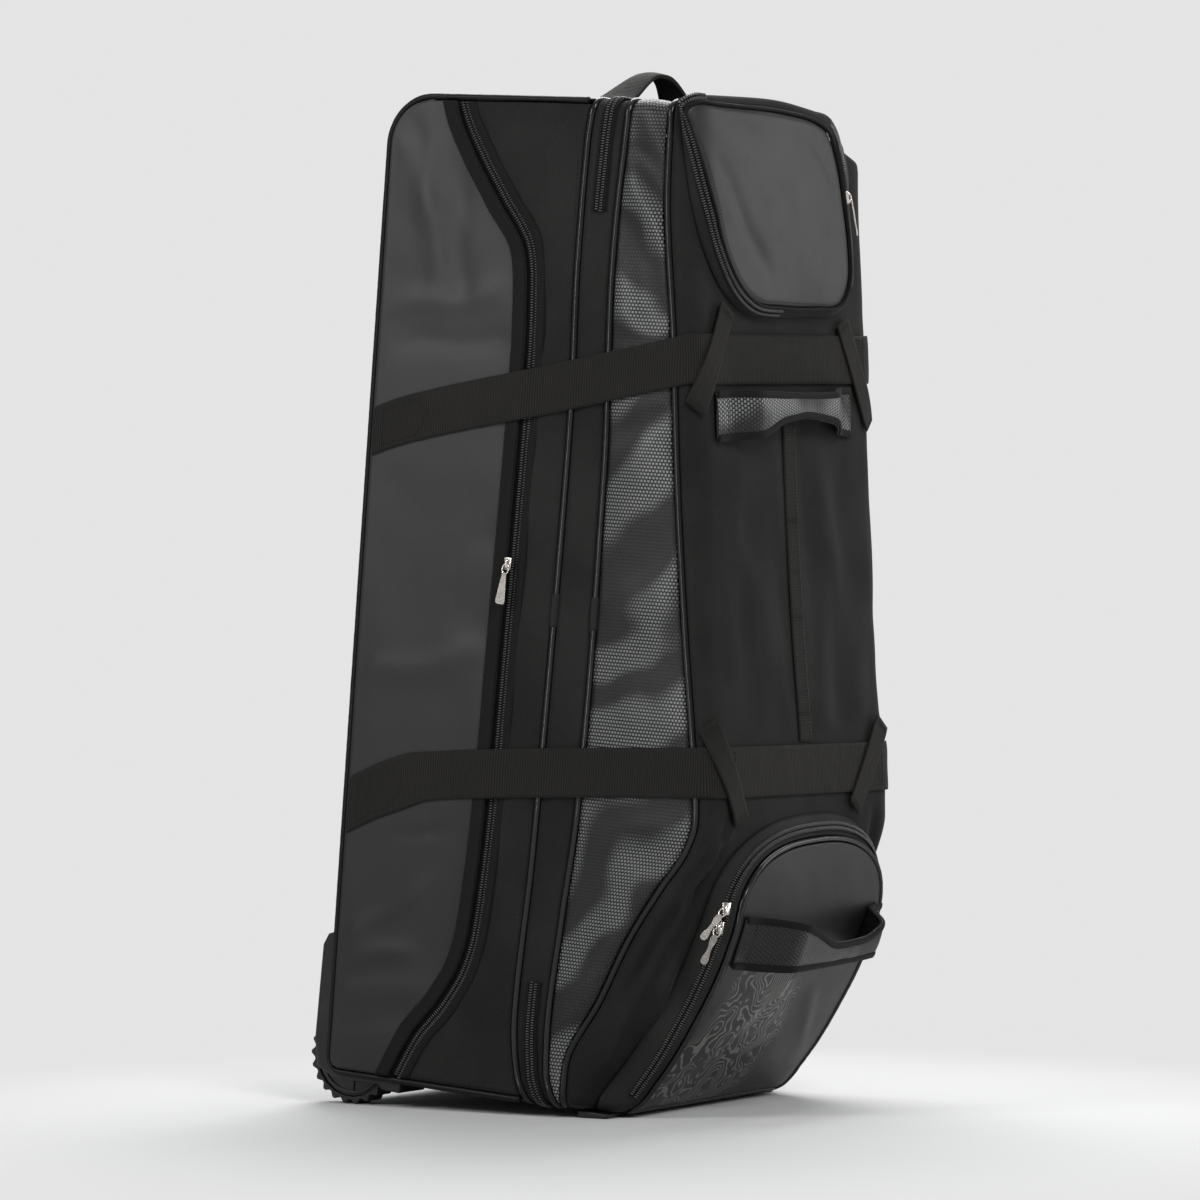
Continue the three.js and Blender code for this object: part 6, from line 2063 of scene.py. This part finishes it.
@dataclass
class ZipPulls(Part):
    """Nickel sliders and their pulls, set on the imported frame's own."""

    names: tuple[str, ...] = ("flap_zip_left", "flap_zip_right", "boot_zip_high", "boot_zip_low", "upper_zip")

    def build(self) -> None:
        """Builds every slider with its bridge, ring and tab."""
        for name in self.names:
            self.slider(name)

    def slider(self, name: str) -> None:
        """One slider, bridge, ring and tab.

        Args:
            name: the slider's name.
        """
        maker = self.maker
        corners: list[Vector] = []
        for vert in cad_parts[f"{name}_slider"].data.vertices:
            if all((vert.co - seen).length > 1e-5 for seen in corners):
                corners.append(vert.co.copy())
        first = corners[0]
        others = sorted((corner - first for corner in corners[1:]), key=lambda way: way.length)
        middle = sum(corners, Vector()) / len(corners)
        out, across, up = others[0].normalized(), others[1].normalized(), others[3].normalized()
        pull = [vert.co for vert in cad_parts[f"{name}_pull"].data.vertices]
        hang = sum(pull, Vector()) / len(pull) - middle
        if hang.dot(out) < 0:
            out.negate()
        down = (hang - out * hang.dot(out)).normalized()
        if up.dot(down) > 0:
            up.negate()
        across = up.cross(out)
        body = Matrix.Translation(middle) @ Matrix((across, up, out)).transposed().to_4x4()
        bm = bmesh.new()
        bmesh.ops.create_cube(bm, size=1.0)
        bmesh.ops.scale(bm, vec=(0.0088, 0.0125, 0.0034), verts=bm.verts)
        for vert in bm.verts:
            if vert.co.y < 0:
                vert.co.x *= 0.68
        bmesh.ops.bevel(bm, geom=bm.edges[:], offset=0.0009, segments=3, profile=0.5, affect="EDGES", material=-1)
        bmesh.ops.transform(bm, matrix=body, verts=bm.verts)
        maker.finish(bm, f"{name}_body", Look.NICKEL, [f"{name}_slider"])
        arch = [body @ Vector((0, 0.0045 * math.cos(t), 0.0012 + 0.0028 * math.sin(t))) for t in steps(0, math.pi, 14)]
        maker.tube(arch, 0.0011, f"{name}_bridge", Look.NICKEL, [], middle - out * 0.02, sides=10, pitch=0.0008)
        side = down.cross(out).normalized()
        hang_frame = Matrix.Translation(middle + out * 0.0035) @ Matrix((side, -down, out)).transposed().to_4x4()
        ring = [hang_frame @ Vector((0.0034 * math.sin(t), -0.0052 - 0.0052 * math.cos(t), 0.0004))
                for t in steps(0, 2 * math.pi, 28)[:-1]]
        maker.tube(ring, 0.0008, f"{name}_ring", Look.NICKEL, [], middle - out * 0.02, True, sides=10, pitch=0.0009)
        self.tab(name, hang_frame)

    def tab(self, name: str, hang: Matrix) -> None:
        """The pull's tab: a slim plate with an eye, a waist and a round foot.

        Args:
            name: the slider's name.
            hang: where the tab hangs.
        """
        outline = list(FLAP_TAB if name.startswith("flap") else POCKET_TAB)
        points = [(0.0, -0.0085)] + outline + [(-x, y) for x, y in reversed(outline[:-1])]
        bm = bmesh.new()
        verts = [bm.verts.new((x, y, 0.0)) for x, y in points]
        plate = bm.faces.new(verts)
        bmesh.ops.inset_individual(bm, faces=[plate], thickness=0.0011, depth=-0.0003)
        rim = bmesh.ops.extrude_face_region(bm, geom=bm.faces[:])
        verts = [v for v in rim["geom"] if isinstance(v, bmesh.types.BMVert)]
        bmesh.ops.translate(bm, vec=(0, 0, 0.0015), verts=verts)
        bmesh.ops.recalc_face_normals(bm, faces=bm.faces)
        bmesh.ops.transform(bm, matrix=hang, verts=bm.verts)
        self.maker.finish(bm, f"{name}_tab", Look.NICKEL, [f"{name}_pull"], bevel=0.00035)


@dataclass
class RunningGear(Part):
    """Wheels, housings, axles and feet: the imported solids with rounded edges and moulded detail."""

    def refined(self, node: str, name: str, look: Look, bevel: float, body: str = BAG) -> None:
        """Copies a hard solid, merges its triangles and rounds its edges.

        Args:
            node: the solid's name.
            name: the piece's name.
            look: its finish.
            bevel: width of its rounded edges.
            body: the body that it rides on.
        """
        bm = bmesh.new()
        bm.from_mesh(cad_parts[node].data)
        bmesh.ops.remove_doubles(bm, verts=bm.verts, dist=1e-5)
        bmesh.ops.dissolve_limit(bm, angle_limit=math.radians(2), verts=bm.verts, edges=bm.edges)
        piece = self.maker.finish(bm, name, look, [node], body, bevel=bevel)
        piece.data.set_sharp_from_angle(angle=math.radians(38))

    def build(self) -> None:
        """Builds both wheels and their housings, and the feet."""
        maker = self.maker
        for side, word in ((-1, "left"), (1, "right")):
            wheel = f"wheel_{word}"
            self.refined(f"tyre_{word}", f"tyre_tread_{word}", Look.RUBBER, 0.0008, wheel)
            self.refined(f"wheel_hub_{word}", f"hub_{word}", Look.MOULDED, 0.0010, wheel)
            self.refined(f"wheel_housing_{word}", f"wheel_guard_{word}", Look.MOULDED, 0.0022)
            self.refined(f"base_foot_{word}", f"foot_{word}", Look.MOULDED, 0.0014)
            self.hub_face(side, word, wheel)
            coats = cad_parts[f"axle_{word}"].data.materials
            coats.clear()
            coats.append(maker.materials[Look.NICKEL])

    def hub_face(self, side: int, word: str, wheel: str) -> None:
        """Raised rim and spokes on the hub's outer face.

        Args:
            side: -1 left, 1 right.
            word: the side's name.
            wheel: the body that it rides on.
        """
        low, high = (Vector(corner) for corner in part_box(f"wheel_hub_{word}"))
        middle = (low + high) / 2
        face = high.x if side > 0 else low.x
        bm = bmesh.new()
        for radius, wide in ((0.0385, 0.0035), (0.0125, 0.0040)):
            first = bmesh.ops.create_circle(bm, segments=48, radius=radius)["verts"]
            ring = bmesh.ops.extrude_edge_only(bm, edges=list({e for v in first for e in v.link_edges}))
            verts = [v for v in ring["geom"] if isinstance(v, bmesh.types.BMVert)]
            bmesh.ops.scale(bm, vec=((radius - wide) / radius, (radius - wide) / radius, 1), verts=verts)
        faces = bmesh.ops.extrude_face_region(bm, geom=bm.faces[:])
        verts = [v for v in faces["geom"] if isinstance(v, bmesh.types.BMVert)]
        bmesh.ops.translate(bm, vec=(0, 0, 0.0018), verts=verts)
        for i in range(6):
            spoke = bmesh.ops.create_cube(bm, size=1.0)["verts"]
            bmesh.ops.scale(bm, vec=(0.0245, 0.0050, 0.0016), verts=spoke)
            bmesh.ops.translate(bm, vec=(0.0240, 0, 0.0008), verts=spoke)
            bmesh.ops.rotate(bm, cent=(0, 0, 0), matrix=Matrix.Rotation(i * math.pi / 3, 3, "Z"), verts=spoke)
        bmesh.ops.recalc_face_normals(bm, faces=bm.faces)
        turn = Matrix.Rotation(math.copysign(math.pi / 2, side), 4, "Y")
        bmesh.ops.transform(bm, matrix=Matrix.Translation((face, middle.y, middle.z)) @ turn, verts=bm.verts)
        self.maker.finish(bm, f"hub_spokes_{word}", Look.MOULDED, [], wheel, bevel=0.0005)


@dataclass
class Studio:
    """Pale floor, soft lights, and the camera at the photograph's angle."""

    form: Form
    lens: float = 141.0
    azimuth: float = math.radians(59)
    pitch: float = math.radians(0.6)
    place: tuple[float, float, float] = (-4.0287, -2.6273, 0.4059)
    pale: float = 0.78
    room: float = 0.27

    def build(self) -> None:
        """Sets up camera, floor, world and lights."""
        scene = bpy.context.scene
        scene.view_settings.view_transform = "Standard"
        lens = bpy.data.cameras.new("photo_view")
        lens.lens, lens.sensor_width = self.lens, 36.0
        lens.clip_end = 100.0
        camera = bpy.data.objects.new("photo_view", lens)
        camera.location = Vector(self.place) + self.form.shift
        camera.rotation_euler = (math.pi / 2 + self.pitch, 0, -self.azimuth)
        scene.collection.objects.link(camera)
        scene.camera = camera
        self.floor()
        world = bpy.data.worlds.new("studio")
        world.use_nodes = True
        sky = Graph(world.node_tree)
        seen = sky.node("ShaderNodeBackground", None, {0: (*grey(self.pale), 1.0), 1: 1.0})
        room = sky.node("ShaderNodeBackground", None, {0: (0.96, 0.98, 1.0, 1.0), 1: self.room})
        ray = sky.node("ShaderNodeLightPath")
        mixed = sky.node("ShaderNodeMixShader", None, {0: ray.outputs["Is Camera Ray"], 1: room.outputs[0],
                2: seen.outputs[0]})
        sky.join(world.node_tree.nodes["World Output"].inputs[0], mixed.outputs[0])
        scene.world = world
        self.light("key", (-1.9, -3.0, 2.9), 1.4, 84.0)
        self.light("side", (-3.0, 1.7, 2.2), 1.2, 46.0)
        self.light("fill", (2.8, -2.2, 1.4), 1.6, 24.0)
        self.light("top", (1.3, 0.5, 2.8), 2.2, 104.0)
        glint = self.light("glint", (-3.9, 0.4, 0.70), 0.28, 30.0)
        glint.data.shape = "RECTANGLE"
        glint.data.size_y = 1.5
        glint.rotation_euler = (math.pi / 2, 0, math.radians(-95))
        glint.visible_diffuse = False

    def floor(self) -> None:
        """A pale floor that takes the bag's shadow and fades into the backdrop."""
        bench = Bench("floor_paper", Roughness=0.95, Specular_IOR_Level=0.0)
        east, north, high = bench.split(bench.spot)
        east, north = east + 0.16, north + 0.14
        far = (east * east + north * north).ramp(0.12, 0.80)
        paper = bench.dress(bench.blend(bench.cloud(1.3, 2.0), grey(0.63), grey(0.65)), bench.cloud(3.0) * 0.1 + 0.82)
        glow = bench.node("ShaderNodeEmission", None, {0: (*grey(self.pale), 1.0), 1: 1.0})
        mixed = bench.node("ShaderNodeMixShader", None, {0: far, 1: bench.shader.outputs[0], 2: glow.outputs[0]})
        bench.join(bench.tree.nodes["Material Output"].inputs[0], mixed.outputs[0])
        bm = bmesh.new()
        bmesh.ops.create_circle(bm, cap_ends=True, segments=64, radius=40.0)
        placed(bm, "floor", paper)

    def light(self, name: str, place: tuple[float, float, float], size: float, power: float) -> Piece:
        """One soft square light, turned to the bag.

        Args:
            name: its name.
            place: where it stands.
            size: its width, in metres.
            power: its power, in watts.

        Returns:
            The light.
        """
        lamp = bpy.data.lights.new(name, "AREA")
        lamp.energy, lamp.size = power, size
        obj = bpy.data.objects.new(name, lamp)
        obj.location = place
        obj.rotation_euler = (Vector((0, 0, 0.5)) - Vector(place)).to_track_quat("-Z", "Y").to_euler()
        bpy.context.scene.collection.objects.link(obj)
        return obj


def main() -> None:
    """Builds every part of the bag in order, then the studio round it."""
    logging.basicConfig(level=logging.INFO, format="%(message)s")
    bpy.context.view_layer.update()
    form = Form()
    maker = Maker()
    for part in (RearShell, Sides, GussetBand, FrontPanel, UpperPocket, BootPocket, Straps, Handles, ZipPulls,
            RunningGear):
        part(form, maker).build()
        LOG.info("built %s", part.__name__)
    Studio(form).build()


if __name__ == "__main__":
    main()
